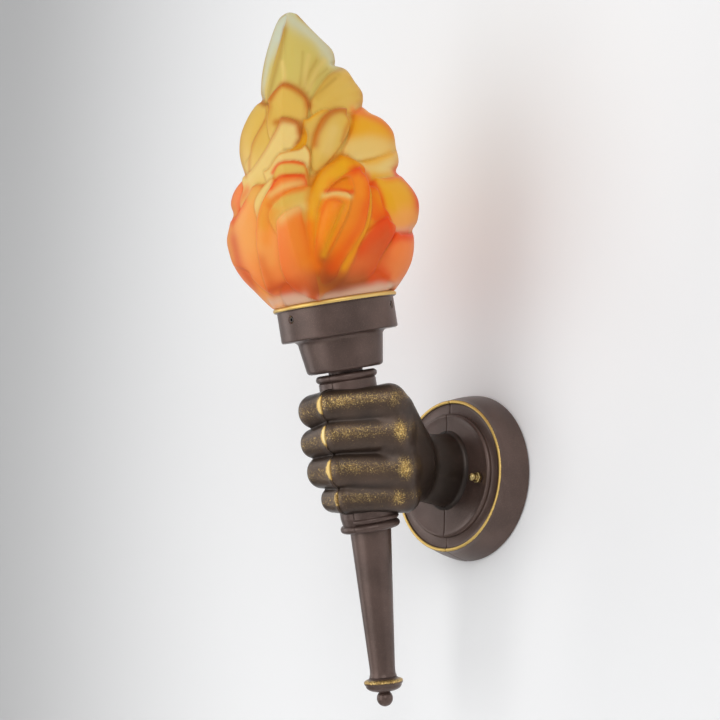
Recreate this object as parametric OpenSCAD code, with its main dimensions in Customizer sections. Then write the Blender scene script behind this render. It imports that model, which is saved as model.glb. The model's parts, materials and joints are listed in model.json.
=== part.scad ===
// Torch sconce: a fist on a round wall plate holds a torch with a flame shade.
// Millimetres. The origin is the centre of the plate on the wall, +Z is up,
// and the sconce stands out of the wall along -Y. +X is to the right of
// someone who faces the wall.

/* [Wall plate] */
// Radius of the plate where it meets the wall
plate_r = 60; // [56:1:70]
// Radius of the gilt line at the edge of the plate's face
face_r = 53.2; // [50:0.5:55]
// Height of the plate's face above the wall
face_h = 21.6; // [18:0.1:26]
// Radius of the raised disc in the middle of the face
disc_r = 44.5; // [42:0.5:47]
// Rise of the raised disc above the face
disc_rise = 3.2; // [1.5:0.1:4]
// Wall thickness of the hollow plate
plate_wall = 3; // [2:0.25:4]

/* [Wall bracket] */
// Thickness of the steel bracket
bracket_t = 2; // [1.5:0.25:3]
// Width of the bracket's arms
bracket_w = 20; // [16:1:24]
// Distance from the centre to each wall screw hole
wall_hole_z = 40; // [36:0.5:42]
// Radius of the wall screw holes
wall_hole_r = 2.25; // [2:0.05:3]
// Radius of the hole for the supply cable
cable_hole_r = 7; // [5:0.5:8]
// Distance from the centre to each stud
stud_x = 34.8; // [34:0.1:36]
// Distance of the studs below the centre
stud_drop = 3.5; // [2:0.25:5]
// Radius of the studs
stud_r = 2; // [1.5:0.25:2.25]
// Radius of the ball on each cap nut
cap_ball_r = 2.75; // [2.5:0.05:3.2]

/* [Torch position] */
// Distance of the torch axis from the wall, level with the plate's centre
torch_out = 98.7; // [96:0.5:104]
// Distance of the torch axis to the left of the plate's centre
torch_side = 6; // [5:0.25:7]
// Forward lean of the torch
torch_lean = 14.3; // [12:0.1:16]
// Forward lean of the lower handle
handle_lean = 8.8; // [7:0.1:10]

/* [Hand] */
// Radius of the index finger
index_r = 11; // [9.5:0.25:11.5]
// Radius of the middle finger
middle_r = 12; // [11:0.25:12.5]
// Radius of the ring finger
ring_r = 12; // [11:0.25:12.5]
// Radius of the little finger
little_r = 9.5; // [8.5:0.25:10]
// Radius of the thumb
thumb_r = 10.5; // [9:0.25:11]
// Half width of the wrist, side to side
wrist_x = 21.3; // [19:0.25:22]
// Half height of the wrist
wrist_z = 26.4; // [24:0.25:27]
// Height of the wrist's centre above the plate's centre
wrist_up = 3.5; // [2:0.25:5]
// Radius of the passage through the wrist
wrist_bore_r = 12; // [10:0.5:12.5]
// Radius of the passage through the fist
fist_bore_r = 13; // [11:0.5:14]
// Gap at the seam between the two halves
seam_gap = 0.1; // [0.05:0.05:0.3]

/* [Collars] */
// Radius of the bead on the upper collar
upper_bead_r = 21.4; // [20.5:0.1:23]
// Radius of the bead on the lower collar
lower_bead_r = 20.8; // [20.3:0.1:22]
// Height of each bead
bead_h = 5.4; // [4:0.2:6]
// Radius of the collars' necks
neck_r = 19.9; // [19:0.1:20.2]
// Distance along the torch to the top of the upper collar
collar_top = 66; // [64:0.5:68]
// Distance along the torch to the bottom of the lower collar
collar_bottom = 44.1; // [42:0.5:46]
// Thickness of the wall that closes the upper collar
collar_wall = 4; // [3:0.25:5]

/* [Cup] */
// Outside radius of the cup's upper part
cup_r = 40.7; // [40:0.1:43]
// Height of the cup's upper part, below its rolled rim
cup_h = 21.2; // [20:0.2:24]
// Radius at the top of the cup's lower part
cup_low_r1 = 29.5; // [28:0.25:31]
// Radius at the bottom of the cup's lower part
cup_low_r2 = 26.8; // [26:0.2:27.6]
// Height of the cup's lower part
cup_low_h = 24.3; // [22:0.5:27]
// Wall thickness of the cup
cup_wall = 2.4; // [1.8:0.1:2.8]
// Floor thickness of the cup
cup_floor = 3; // [2.5:0.25:4]
// Radius of the rolled rim's bead
rim_bead = 1.8; // [1.5:0.1:2.2]
// Distance of the shade screws below the rolled rim's centre
screw_drop = 7.7; // [6:0.1:9]
// Radius of the shade screws
screw_r = 2; // [1.5:0.25:2.25]
// Number of shade screws
screw_count = 3; // [3:1:3]
// Thickness of the washer under the cup
washer_t = 1.6; // [1:0.1:2.5]

/* [Shade] */
// Outside radius of the glass neck
shade_neck_r = 35.5; // [34.5:0.1:36]
// Thickness of the glass
glass_t = 3; // [2.5:0.25:4]
// Height of the flame above the cup's rim
flame_h = 201; // [190:1:215]
// Radius of the flame's body, without its petals
flame_r = 59; // [56:0.5:62]
// Thickness of the rubber ring under the glass
gasket_t = 2; // [1.5:0.25:3]

/* [Lampholder] */
// Radius of the nipple that joins the cup to the fist
nipple_r = 5; // [4:0.5:6]
// Radius of the bore through the nipple
nipple_bore_r = 3.7; // [2.9:0.1:3.9]
// Outside radius of the lampholder
holder_r = 20; // [19:0.25:21]
// Height of the lampholder
holder_h = 46; // [43:1:50]
// Radius of the bulb's threaded cap
bulb_cap_r = 13; // [12.5:0.1:13.2]
// Radius of the bulb's glass
bulb_r = 27.5; // [22.5:0.5:29]
// Length of the bulb, contact to crown
bulb_len = 98; // [90:1:105]

/* [Lower handle] */
// Radius of the handle at its top
handle_r1 = 14.6; // [13.5:0.1:15]
// Radius of the handle above its foot
handle_r2 = 8.7; // [8.2:0.1:9.5]
// Length of the handle
handle_len = 106.5; // [95:0.5:115]
// Wall thickness of the handle
handle_wall = 3; // [2.5:0.25:3.5]
// Radius of the finial's rim
finial_r = 13.6; // [12.5:0.1:14.5]
// Height of the finial's bowl
finial_h = 9.6; // [8:0.2:11]
// Radius of the finial's ball
ball_r = 5.6; // [5:0.1:6.2]
// Radius of the rod that holds the handle
rod_r = 2.5; // [2:0.25:3]

/* [Hidden] */
$fn = 64;

// Clearances
fit = 0.05;          // a shaft or thread in its own hole
slack = 0.4;         // a bolt through a plain hole
turn_gap = 0.2;      // below a part that turns on a face
shade_gap = 0.3;     // between the glass and what is near it
eps = 0.01;

// Colours
BRONZE = [0.30, 0.24, 0.22];
BRONZE_DARK = [0.20, 0.16, 0.14];
BRASS = [0.78, 0.60, 0.28];
STEEL = [0.68, 0.69, 0.70];
FLAME = [0.95, 0.52, 0.22, 0.8];

// Distances along the torch axis, from where it passes the plate's centre
washer_z = collar_top;
cup_z = washer_z + washer_t;
fillet = 4;
corner = 3;
tag_z = collar_top - collar_wall - 0.8;
tag_reach = 10.2;
cup_step = cup_z + cup_low_h;
rim_z = cup_step + cup_h + rim_bead;
rim_top = rim_z + rim_bead;
screw_z = rim_z - screw_drop;
cup_bore_r = cup_r - cup_wall;
cup_low_bore_r = cup_low_r2 - cup_wall;
ledge_z = cup_step + cup_wall;
gasket_z = ledge_z;
shade_z = gasket_z + gasket_t + turn_gap / 2;
flame_foot = rim_top + shade_gap;
nut_af = 14;
nut_t = 4;
nut_top_z = cup_z + cup_floor;
holder_z = nut_top_z + nut_t;
holder_top = holder_z + holder_h;
holder_cap_h = 16;
holder_wall = 2;
insert_z = holder_z + 12;
insert_t = 8;
shell_z = insert_z + insert_t;
shell_wall = 0.6;
shell_r = bulb_cap_r + 2 * fit + shell_wall;
shell_h = holder_top - shell_z - 4;
contact_t = 0.8;
contact_rise = 2.4;
bulb_z = shell_z + contact_rise + turn_gap;
bulb_cap_h = 25;
bulb_foot_h = 3;
nipple_z = collar_top - collar_wall - nut_t - 4;
nipple_top = holder_z + 8;

// The hand's joints: [across, out, along the torch] from the torch axis
finger_r = [index_r, middle_r, ring_r, little_r];
knuckle_z = [43, 20, -6.5, -27];
middle_joint_z = [44.5, 23, 0.5, -19.5];
end_joint_z = [43.5, 22.5, 0.5, -19];
tip_z = [41.5, 22, 1.5, -18];
knuckle_xy = [25.5, 14];
middle_joint_xy = [4.5, -20.5];
end_joint_x = [-15, -18.5, -16, -9.5];
end_joint_y = [-21, -22, -21.5, -20];
tip_x = [-25, -27, -25, -21];
tip_y = -3;
heel_xy = [-19, 16];
fist_core_r = 19.5;
hand_root = -58;
wrist_front = -42;
fist_floor = -30;

// Places on the wall plate
disc_h = face_h + disc_rise;
stud_top = disc_h + 5.6;
cap_hex_h = 3;
cap_z = disc_h + turn_gap;
cap_ball_z = cap_z + cap_hex_h + 3;
arm_x = stud_x + 8;
arm_z = wall_hole_z + 7;
block_w = 20;
block_l = 14;
block_h = 11;
block_z = -wall_hole_z + 8;

block_top = block_z + block_l;
terminal_pitch = 9;
terminal_x = [-terminal_pitch / 2, terminal_pitch / 2];
wire_h = bracket_t + 5;
lead_r = 1.3;
earth_x = 19;
earth_y = -stud_drop - 3;
earth_r = 2;

// Places on the lower handle, from where its axis leaves the lower collar
handle_up = 2.5;
socket_r = handle_r1 + 0.5;
socket_wall = 4;
handle_foot = handle_up - handle_len;
finial_z = handle_foot - turn_gap;
bowl_z = finial_z - finial_h;
ball_z = bowl_z - ball_r + 0.8;
rod_nut_z = handle_up + 0.5 + socket_wall;
rod_top = rod_nut_z + 7;
rod_foot = finial_z - finial_h + 2;

// Screws and pins that join the halves: [out of the wall, height]
join_points = [[-37, wrist_up + 17.5], [-37, wrist_up - 17.5]];
join_r = 1.5;
join_len = 17;
join_head_r = 2.8;
join_head_h = 2;
join_head_x = -9;
dowel_points = [[-121.4, 18], [-110.8, -23.7]];
dowel_r = 2;
dowel_len = 10;

// Frames

// Local +Z points out of the wall, local +Y points up
module wall_frame() {
    rotate([90, 0, 0]) children();
}

// Local +Z runs up the torch axis
module torch_frame() {
    translate([-torch_side, -torch_out, 0])
        rotate([torch_lean, 0, 0])
            children();
}

// Local +Z runs up the lower handle's axis
module handle_frame() {
    torch_frame()
        translate([0, 0, bead_h / 2 - collar_bottom])
            rotate([handle_lean - torch_lean, 0, 0])
                children();
}

function torch_point(p) = [
    p[0] - torch_side,
    p[1] * cos(torch_lean) - p[2] * sin(torch_lean) - torch_out,
    p[1] * sin(torch_lean) + p[2] * cos(torch_lean)
];

// Shapes used more than once

module ring(r_out, r_in, h) {
    difference() {
        cylinder(r = r_out, h = h);
        translate([0, 0, -1]) cylinder(r = r_in, h = h + 2);
    }
}

module hex_nut(across, h, bore) {
    difference() {
        cylinder(r = across / sqrt(3), h = h, $fn = 6);
        translate([0, 0, -1]) cylinder(r = bore, h = h + 2);
    }
}

module slotted_screw(r, len, head_r, head_h) {
    difference() {
        union() {
            cylinder(r = r, h = len);
            translate([0, 0, len]) cylinder(r = head_r, h = head_h);
        }
        translate([-head_r - 1, -0.4, len + head_h - 0.8]) cube([2 * head_r + 2, 0.8, 2]);
    }
}

// An arc of points for an outline
function arc(cx, cy, r, a0, a1, n) = [
    for (i = [0:n])
        let (a = a0 + (a1 - a0) * i / n)
            [cx + r * cos(a), cy + r * sin(a)]
];

// A quarter of an oval that falls away towards the axis
function bowl(cx, cy, rx, ry, n) = [
    for (i = [0:n])
        [cx + rx * cos(90 * i / n), cy - ry * sin(90 * i / n)]
];

// A round tube that follows a route, as one closed mesh
function unit(v) = v / norm(v);

function tangent(route, i) = unit(route[min(i + 1, len(route) - 1)] - route[max(i - 1, 0)]);

function smooth_route(points, steps) = [
    for (i = [0:len(points) - 2], k = [0:steps - 1])
        let (
            t = k / steps,
            a = points[max(i - 1, 0)],
            b = points[i],
            c = points[i + 1],
            d = points[min(i + 2, len(points) - 1)]
        )
            0.5 * (2 * b + (c - a) * t + (2 * a - 5 * b + 4 * c - d) * t * t
                + (3 * b - a - 3 * c + d) * t * t * t),
    points[len(points) - 1]
];

module tube(route, r, sides) {
    n = len(route);
    side = [1, 0.02, 0.01];
    rings = [
        for (i = [0:n - 1])
            let (
                t = tangent(route, i),
                u = unit(cross(t, side)),
                v = cross(t, u)
            )
                for (k = [0:sides - 1])
                    route[i] + r * (cos(360 * k / sides) * u + sin(360 * k / sides) * v)
    ];
    walls = [
        for (i = [0:n - 2], k = [0:sides - 1])
            let (
                a = i * sides + k,
                b = i * sides + (k + 1) % sides
            )
                each [[a, b, b + sides], [a, b + sides, a + sides]]
    ];
    foot = [for (k = [1:sides - 2]) [0, k + 1, k]];
    last = (n - 1) * sides;
    top = [for (k = [1:sides - 2]) [last, last + k, last + k + 1]];
    polyhedron(points = rings, faces = [for (f = concat(walls, foot, top)) [f[2], f[1], f[0]]]);
}

// Wall bracket and what is fixed to it

module wall_bracket() {
    color(STEEL)
        wall_frame()
            difference() {
                union() {
                    translate([-arm_x, -stud_drop - bracket_w / 2, 0])
                        cube([2 * arm_x, bracket_w, bracket_t]);
                    translate([-bracket_w / 2, -arm_z, 0])
                        cube([bracket_w, 2 * arm_z, bracket_t]);
                }
                translate([0, 0, -1]) cylinder(r = cable_hole_r, h = bracket_t + 2);
                for (side = [-1, 1])
                    translate([0, side * wall_hole_z, -1])
                        cylinder(r = wall_hole_r, h = bracket_t + 2);
                for (side = [-1, 1])
                    translate([side * stud_x, -stud_drop, -1])
                        cylinder(r = stud_r + fit, h = bracket_t + 2);
                translate([earth_x, earth_y, -1])
                    cylinder(r = earth_r + fit, h = bracket_t + 2);
            }
}

module bracket_studs() {
    color(STEEL)
        wall_frame()
            for (side = [-1, 1])
                translate([side * stud_x, -stud_drop, 0.2])
                    cylinder(r = stud_r, h = stud_top - 0.2);
}

module stud_nuts() {
    color(STEEL)
        wall_frame()
            for (side = [-1, 1])
                translate([side * stud_x, -stud_drop, bracket_t])
                    hex_nut(7, 3, stud_r + fit);
}

module earth_screw() {
    color(BRASS)
        wall_frame()
            translate([earth_x, earth_y, 0.2]) {
                slotted_screw(earth_r, bracket_t + 1.3, 3.6, 2.4);
                translate([0, 0, bracket_t - 0.2]) ring(4.2, earth_r + fit, 0.6);
            }
}

module terminal_block() {
    color([0.92, 0.92, 0.88])
        wall_frame()
            difference() {
                translate([-block_w / 2, block_z, bracket_t]) cube([block_w, block_l, block_h]);
                for (x = terminal_x) {
                    translate([x, block_z - 1, wire_h])
                        rotate([-90, 0, 0]) cylinder(r = lead_r + 0.3, h = block_l + 2);
                    for (y = [0.28, 0.72])
                        translate([x, block_z + block_l * y, wire_h])
                            cylinder(r = 1.8, h = block_h);
                }
            }
}

module terminal_screws() {
    color(BRASS)
        wall_frame()
            for (x = terminal_x, y = [0.28, 0.72])
                translate([x, block_z + block_l * y, wire_h + lead_r + 0.1])
                    slotted_screw(1.7, 1.6, 1.7, 1.4);
}

// Leads: from the terminal block through the wrist and up the torch axis
function lead_route(x, across) = concat(
    [
        [x, -wire_h, block_top - 6],
        [x, -wire_h, block_top + 2],
        [x * 0.8, -wire_h - 5, block_top + 10],
        [x * 0.5, -30, wrist_up - 3],
        [x * 0.4, -60, wrist_up - 1]
    ],
    [
        for (p = [[across, 6, 12], [across, 1, 30], [across, 0, 46],
                [across, 0, nipple_z + 6], [across, 0, nipple_top + 1],
                [across, 0, insert_z - 0.3]])
            torch_point(p)
    ]
);

module live_lead() {
    color([0.45, 0.25, 0.12]) tube(smooth_route(lead_route(terminal_x[1], 1.5), 4), lead_r, 8);
}

module neutral_lead() {
    color([0.15, 0.35, 0.75]) tube(smooth_route(lead_route(terminal_x[0], -1.5), 4), lead_r, 8);
}

module earth_lead() {
    route = concat(
        [
            [earth_x + 3, -bracket_t - 7, earth_y + 4],
            [earth_x - 1, -bracket_t - 9, earth_y + 8],
            [8, -21, wrist_up + 3],
            [7, -34, wrist_up + 2],
            [5, -60, wrist_up + 2],
            [3.5, -80, wrist_up + 3],
            [1, -92, wrist_up + 6]
        ],
        [
            for (p = [[7.5, 0, 24], [tag_reach, 0, 42], [tag_reach, 0, tag_z - 4], [tag_reach, 0, tag_z + 0.2]])
                torch_point(p)
        ]
    );
    color([0.35, 0.62, 0.20]) {
        tube(smooth_route(route, 4), lead_r, 8);
        torch_frame() translate([0, 0, tag_z]) {
            ring(9.5, nipple_r + fit, 0.8);
            translate([8.8, -lead_r, 0]) cube([tag_reach - 8.8 + lead_r, 2 * lead_r, 0.8]);
        }
    }
}

// The two half castings: plate, wrist, fist and collars

module plate_body() {
    lip = 2.2;
    wall_frame()
        rotate_extrude($fn = 72)
            polygon(concat(
                [[0, 0], [plate_r, 0], [plate_r - 1, 4]],
                [[face_r + 2.6, face_h - 5]],
                arc(face_r, face_h, 1.2, -20, 180, 6),
                [[face_r - 3, face_h], [disc_r, face_h]],
                arc(disc_r - lip, disc_h - lip, lip, 0, 100, 4),
                [[disc_r - 7, disc_h - 0.4], [wrist_x, disc_h - 0.4], [0, disc_h - 0.4]]
            ));
}

module plate_hollow() {
    top = face_h - plate_wall;
    wall_frame()
        translate([0, 0, -1])
            rotate_extrude($fn = 72)
                polygon([
                    [0, 0], [plate_r - plate_wall, 0], [plate_r - plate_wall, 1],
                    [face_r - plate_wall, top], [disc_r - plate_wall - 3, top + 1],
                    [disc_r - plate_wall - 5, disc_h - plate_wall + 1], [0, disc_h - plate_wall + 1]
                ]);
}

// One ball of the hand, at a point given from the torch axis
module ball_at(xy, z, r) {
    translate([xy[0], xy[1], z]) sphere(r = r, $fn = 24);
}

module wrist_ring(y, k, up) {
    translate([0, y, wrist_up + up])
        scale([wrist_x * k, 1, wrist_z * k])
            rotate([90, 0, 0]) cylinder(r = 1, h = 2, $fn = 32);
}

module finger(i) {
    r = finger_r[i];
    end_xy = [end_joint_x[i], end_joint_y[i]];
    torch_frame() {
        hull() {
            ball_at(knuckle_xy, knuckle_z[i], r);
            ball_at(middle_joint_xy, middle_joint_z[i], r);
        }
        hull() {
            ball_at(middle_joint_xy, middle_joint_z[i], r);
            ball_at(end_xy, end_joint_z[i], r - 0.8);
        }
        hull() {
            ball_at(end_xy, end_joint_z[i], r - 0.8);
            ball_at([tip_x[i], tip_y], tip_z[i], r - 1.2);
        }
    }
}

// The back of the hand, from the knuckles to the wrist
module palm() {
    hull() {
        torch_frame() {
            for (i = [0:3]) ball_at([knuckle_xy[0] - 2, knuckle_xy[1]], knuckle_z[i], finger_r[i] - 0.5);
            for (i = [0:3]) ball_at(heel_xy, knuckle_z[i] - 4, finger_r[i]);
        }
        wrist_ring(hand_root, 1.03, 2.6);
    }
    hull() {
        wrist_ring(hand_root, 1.03, 2.6);
        wrist_ring(wrist_front, 0.93, 0);
    }
    torch_frame() translate([0, 0, -27]) cylinder(r = fist_core_r, h = 74, $fn = 40);
}

module thumb() {
    joints = [[-4, 40, 4], [-24, 20, 16], [-33, 1, 32], [-30, -12, 42]];
    radii = [thumb_r + 4, thumb_r + 1, thumb_r - 1, thumb_r - 2.5];
    torch_frame()
        for (i = [0:2])
            hull() {
                translate(joints[i]) sphere(r = radii[i], $fn = 20);
                translate(joints[i + 1]) sphere(r = radii[i + 1], $fn = 20);
            }
}

module wrist() {
    hull() {
        wrist_ring(-disc_h + 2, 1, 0);
        wrist_ring(wrist_front, 0.93, 0);
    }
}

module collars() {
    torch_frame() {
        translate([0, 0, 40])
            rotate_extrude($fn = 48)
                polygon(concat(
                    [[0, 0], [neck_r, 0]],
                    [[neck_r, collar_top - 40 - bead_h]],
                    arc(upper_bead_r - bead_h / 2, collar_top - 40 - bead_h / 2, bead_h / 2, -80, 80, 6),
                    [[neck_r - 1, collar_top - 40], [0, collar_top - 40]]
                ));
        mirror([0, 0, 1])
            translate([0, 0, 25])
                rotate_extrude($fn = 48)
                    polygon(concat(
                        [[0, 0], [neck_r, 0]],
                        [[neck_r, collar_bottom - 25 - bead_h]],
                        arc(lower_bead_r - bead_h / 2, collar_bottom - 25 - bead_h / 2,
                            bead_h / 2, -80, 80, 6),
                        [[neck_r - 1, collar_bottom - 25], [0, collar_bottom - 25]]
                    ));
    }
}

module casting() {
    difference() {
        union() {
            plate_body();
            wrist();
            palm();
            thumb();
            for (i = [0:3]) finger(i);
            collars();
        }
        plate_hollow();
        translate([0, -disc_h + plate_wall + 1, wrist_up])
            rotate([90, 0, 0]) cylinder(r = wrist_bore_r, h = torch_out - 22, $fn = 32);
        torch_frame()
            translate([0, 0, fist_floor])
                cylinder(r = fist_bore_r, h = collar_top - collar_wall - fist_floor, $fn = 32);
        torch_frame() cylinder(r = nipple_r + slack, h = 2 * collar_top, $fn = 24);
        handle_frame() {
            translate([0, 0, -20]) cylinder(r = socket_r, h = 20.5 + handle_up, $fn = 40);
            cylinder(r = rod_r + slack, h = 20, $fn = 20);
            translate([0, 0, rod_nut_z]) cylinder(r = 7, h = 10, $fn = 24);
        }
        wall_frame()
            for (side = [-1, 1])
                translate([side * stud_x, -stud_drop, 0])
                    cylinder(r = stud_r + slack, h = 2 * disc_h, $fn = 20);
        for (p = join_points) {
            translate([join_head_x - 40, p[0], p[1]])
                rotate([0, 90, 0]) cylinder(r = join_head_r + 0.5, h = 40, $fn = 20);
            translate([join_head_x - 1, p[0], p[1]])
                rotate([0, 90, 0]) cylinder(r = join_r + 0.1, h = join_len + 2, $fn = 20);
        }
        for (p = dowel_points)
            translate([-dowel_len / 2 - 0.5, p[0], p[1]])
                rotate([0, 90, 0]) cylinder(r = dowel_r + fit, h = dowel_len + 1, $fn = 20);
    }
}

module casting_right() {
    color(BRONZE_DARK)
        intersection() {
            casting();
            translate([seam_gap / 2, -200, -100]) cube([200, 250, 250]);
        }
}

module casting_left() {
    color(BRONZE)
        intersection() {
            casting();
            translate([-200 - seam_gap / 2, -200, -100]) cube([200, 250, 250]);
        }
}

module joining_screws() {
    color(STEEL)
        for (p = join_points)
            translate([join_head_x + join_len, p[0], p[1]])
                rotate([0, -90, 0]) slotted_screw(join_r, join_len, join_head_r, join_head_h);
}

module dowel_pins() {
    color(STEEL)
        for (p = dowel_points)
            translate([-dowel_len / 2, p[0], p[1]])
                rotate([0, 90, 0]) cylinder(r = dowel_r, h = dowel_len);
}

// Cap nuts that hold the plate to the studs

module cap_nut() {
    difference() {
        union() {
            cylinder(r = 7 / sqrt(3), h = cap_hex_h, $fn = 6);
            cylinder(r = cap_ball_r - 0.15, h = cap_ball_z - cap_z);
            translate([0, 0, cap_ball_z - cap_z]) sphere(r = cap_ball_r);
        }
        translate([0, 0, -1]) cylinder(r = stud_r + fit, h = stud_top - cap_z + 1.2);
    }
}

module cap_nut_right() {
    color(BRASS) wall_frame() translate([stud_x, -stud_drop, cap_z]) cap_nut();
}

module cap_nut_left() {
    color(BRASS) wall_frame() translate([-stud_x, -stud_drop, cap_z]) cap_nut();
}

// Cup

module torch_cup() {
    bead_x = cup_r + rim_bead - 0.6;
    outline = concat(
        [[nipple_r + slack, cup_z]],
        arc(cup_low_r2 - corner, cup_z + corner, corner, -90, 0, 6),
        arc(cup_low_r1 + fillet, cup_step - fillet, fillet, 180, 90, 6),
        arc(cup_r - 1.2, cup_step + 1.2, 1.2, -90, 0, 4),
        [[cup_r, rim_z - rim_bead]],
        arc(bead_x - 0.6, rim_z, rim_bead, -80, 90, 10),
        [[cup_bore_r, rim_top], [cup_bore_r, ledge_z], [cup_low_bore_r, ledge_z]],
        [[cup_low_bore_r, cup_z + cup_floor], [nipple_r + slack, cup_z + cup_floor]]
    );
    color(BRONZE)
        torch_frame()
            difference() {
                rotate_extrude() polygon(outline);
                for (i = [0:screw_count - 1])
                    rotate([0, 0, screw_angle(i)])
                        translate([cup_bore_r - 1, 0, screw_z])
                            rotate([0, 90, 0]) {
                                cylinder(r = screw_r + fit, h = cup_wall + 2);
                                translate([0, 0, cup_wall]) cylinder(r1 = screw_r + fit, r2 = screw_r + 2.1, h = 2);
                            }
            }
}

// The first screw faces straight out of the wall
function screw_angle(i) = -90 + 360 / screw_count * i;

screw_len = cup_r - 0.6 - shade_neck_r - shade_gap;

module shade_screw(i) {
    color(STEEL)
        torch_frame()
            rotate([0, 0, screw_angle(i)])
                translate([shade_neck_r + shade_gap, 0, screw_z])
                    rotate([0, 90, 0])
                        difference() {
                            union() {
                                cylinder(r1 = screw_r - 0.8, r2 = screw_r, h = 0.8);
                                translate([0, 0, 0.8]) cylinder(r = screw_r, h = screw_len - 0.8);
                            }
                            translate([-3, -0.35, screw_len - 0.9]) cube([6, 0.7, 2]);
                        }
}

module shade_screw_front() {
    shade_screw(0);
}

module shade_screw_right() {
    shade_screw(1);
}

module shade_screw_left() {
    shade_screw(2);
}

module cup_washer() {
    color(BRONZE)
        torch_frame() translate([0, 0, washer_z]) ring(12, nipple_r + fit, washer_t);
}

module nipple() {
    color(BRASS)
        torch_frame() translate([0, 0, nipple_z]) ring(nipple_r, nipple_bore_r, nipple_top - nipple_z);
}

module nipple_nuts() {
    color(BRASS)
        torch_frame() {
            translate([0, 0, tag_z - nut_t]) hex_nut(nut_af, nut_t, nipple_r + fit);
            translate([0, 0, nut_top_z]) hex_nut(nut_af, nut_t, nipple_r + fit);
        }
}

// Lampholder

module holder_cap() {
    round_r = 7;
    color([0.12, 0.12, 0.12])
        torch_frame()
            rotate_extrude()
                polygon(concat(
                    [[nipple_r + fit, holder_z], [holder_r - round_r, holder_z]],
                    arc(holder_r - round_r, holder_z + round_r, round_r, -90, 0, 8),
                    [[holder_r, holder_z + holder_cap_h], [holder_r - holder_wall, holder_z + holder_cap_h]],
                    [[holder_r - holder_wall, holder_z + round_r + 1]],
                    [[holder_r - round_r, holder_z + holder_wall + 1], [nipple_r + 3, holder_z + holder_wall + 1]],
                    [[nipple_r + 3, nipple_top - 1], [nipple_r + fit, nipple_top - 1]]
                ));
}

module holder_insert() {
    color([0.93, 0.92, 0.88])
        torch_frame()
            difference() {
                translate([0, 0, insert_z]) cylinder(r = holder_r - holder_wall - 0.2, h = insert_t);
                for (x = [-1, 1])
                    translate([10.5 * x, 0, insert_z - 1]) cylinder(r = 1.8, h = insert_t + 2);
            }
}

module holder_skirt() {
    color([0.12, 0.12, 0.12])
        torch_frame()
            translate([0, 0, holder_z + holder_cap_h]) {
                ring(holder_r, holder_r - holder_wall, holder_h - holder_cap_h - 3);
                translate([0, 0, holder_h - holder_cap_h - 3])
                    ring(holder_r, shell_r + 0.2, 3);
            }
}

module socket_shell() {
    color(BRASS)
        torch_frame() translate([0, 0, shell_z]) ring(shell_r, shell_r - shell_wall, shell_h);
}

module centre_contact() {
    color(BRASS)
        torch_frame() {
            translate([-2.5, -8, shell_z]) cube([5, 10, contact_t]);
            translate([-2, -2, shell_z]) cube([4, 4, contact_rise]);
        }
}

// Bulb

module bulb_cap() {
    color(STEEL)
        torch_frame()
            translate([0, 0, bulb_z + bulb_foot_h])
                ring(bulb_cap_r, bulb_cap_r - 1, bulb_cap_h - bulb_foot_h);
}

module bulb_contact() {
    color([0.15, 0.15, 0.16])
        torch_frame()
            translate([0, 0, bulb_z]) {
                cylinder(r = 4.5, h = 1);
                translate([0, 0, 1]) cylinder(r1 = 5.5, r2 = bulb_cap_r - 1.2, h = bulb_foot_h);
            }
}

module bulb_envelope() {
    foot = bulb_z + bulb_cap_h - 6;
    crown = bulb_z + bulb_len;
    mid = crown - bulb_r;
    color([0.97, 0.97, 0.94, 0.6])
        torch_frame()
            rotate_extrude()
                polygon(concat(
                    [[0, foot], [bulb_cap_r - 1 - fit, foot], [bulb_cap_r - 1 - fit, foot + 6.2]],
                    [[bulb_cap_r + 0.6, foot + 8]],
                    arc(0, mid, bulb_r, -40, 90, 16)
                ));
}

module shade_gasket() {
    color([0.10, 0.10, 0.10])
        torch_frame()
            translate([0, 0, gasket_z]) ring(cup_bore_r - 0.3, shade_neck_r - glass_t - 1, gasket_t);
}

// Glass flame

// Body of the flame: [height, radius] for a flame 201 high and 59 across its radius
flame_nominal = [201, 59];
flame_body = [
    [0, 41.5], [11, 51], [28, 57.5], [48, 59], [71, 55], [95, 47],
    [121, 38], [145, 27.5], [168, 19.5], [187, 10.5], [201, 0]
];
flame_slope = [1.1, -1.6];

// The pattern runs half way round between these angles, and its mirror image closes the back
flame_left = -130;
flame_right = 50;
flame_steps = 36;
flame_rows = 50;
step_a = (flame_right - flame_left) / flame_steps;
row_h = flame_nominal[0] / flame_rows;

// Outline at each of those angles, lobe by lobe: [height, radius]
outline_right = [
    [0, 42.6], [4, 46.8], [11, 52.8], [18.5, 57.5], [28.5, 60.5], [39, 61.1], [44, 65.1], [52, 67.8],
    [59, 68.2], [67, 65.3], [76, 59.6], [80.5, 56.2], [85, 58.4], [90, 59.4], [108, 58.5],
    [117.5, 52.9], [123, 44.7], [128, 40.2], [133.5, 41.5], [139, 41.6], [146.5, 37.9], [154, 34.3],
    [158, 30], [159.5, 26], [163.5, 26.7], [171, 25.7], [180.5, 18.8], [189, 12.6], [195.5, 8.2],
    [199.5, 5.2], [201, 0]
];
outline_left = [
    [0, 42.6], [3.5, 45.8], [14, 53.3], [23.5, 60.1], [34, 64.8], [44, 66.7], [52.5, 66.7],
    [61.5, 63.1], [69.5, 59.4], [76, 60.2], [82.5, 57.7], [87.5, 53.4], [91, 48], [95, 47.3],
    [104, 48.7], [112.5, 48.4], [122.5, 45.7], [132, 40], [139.5, 33.2], [142, 27.5], [150, 27.4],
    [161.5, 24.8], [174.5, 19.9], [187.5, 13.6], [195.5, 9], [199.5, 5.2], [201, 0]
];
outline_reach = 24;
tip_calm = 34;

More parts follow.
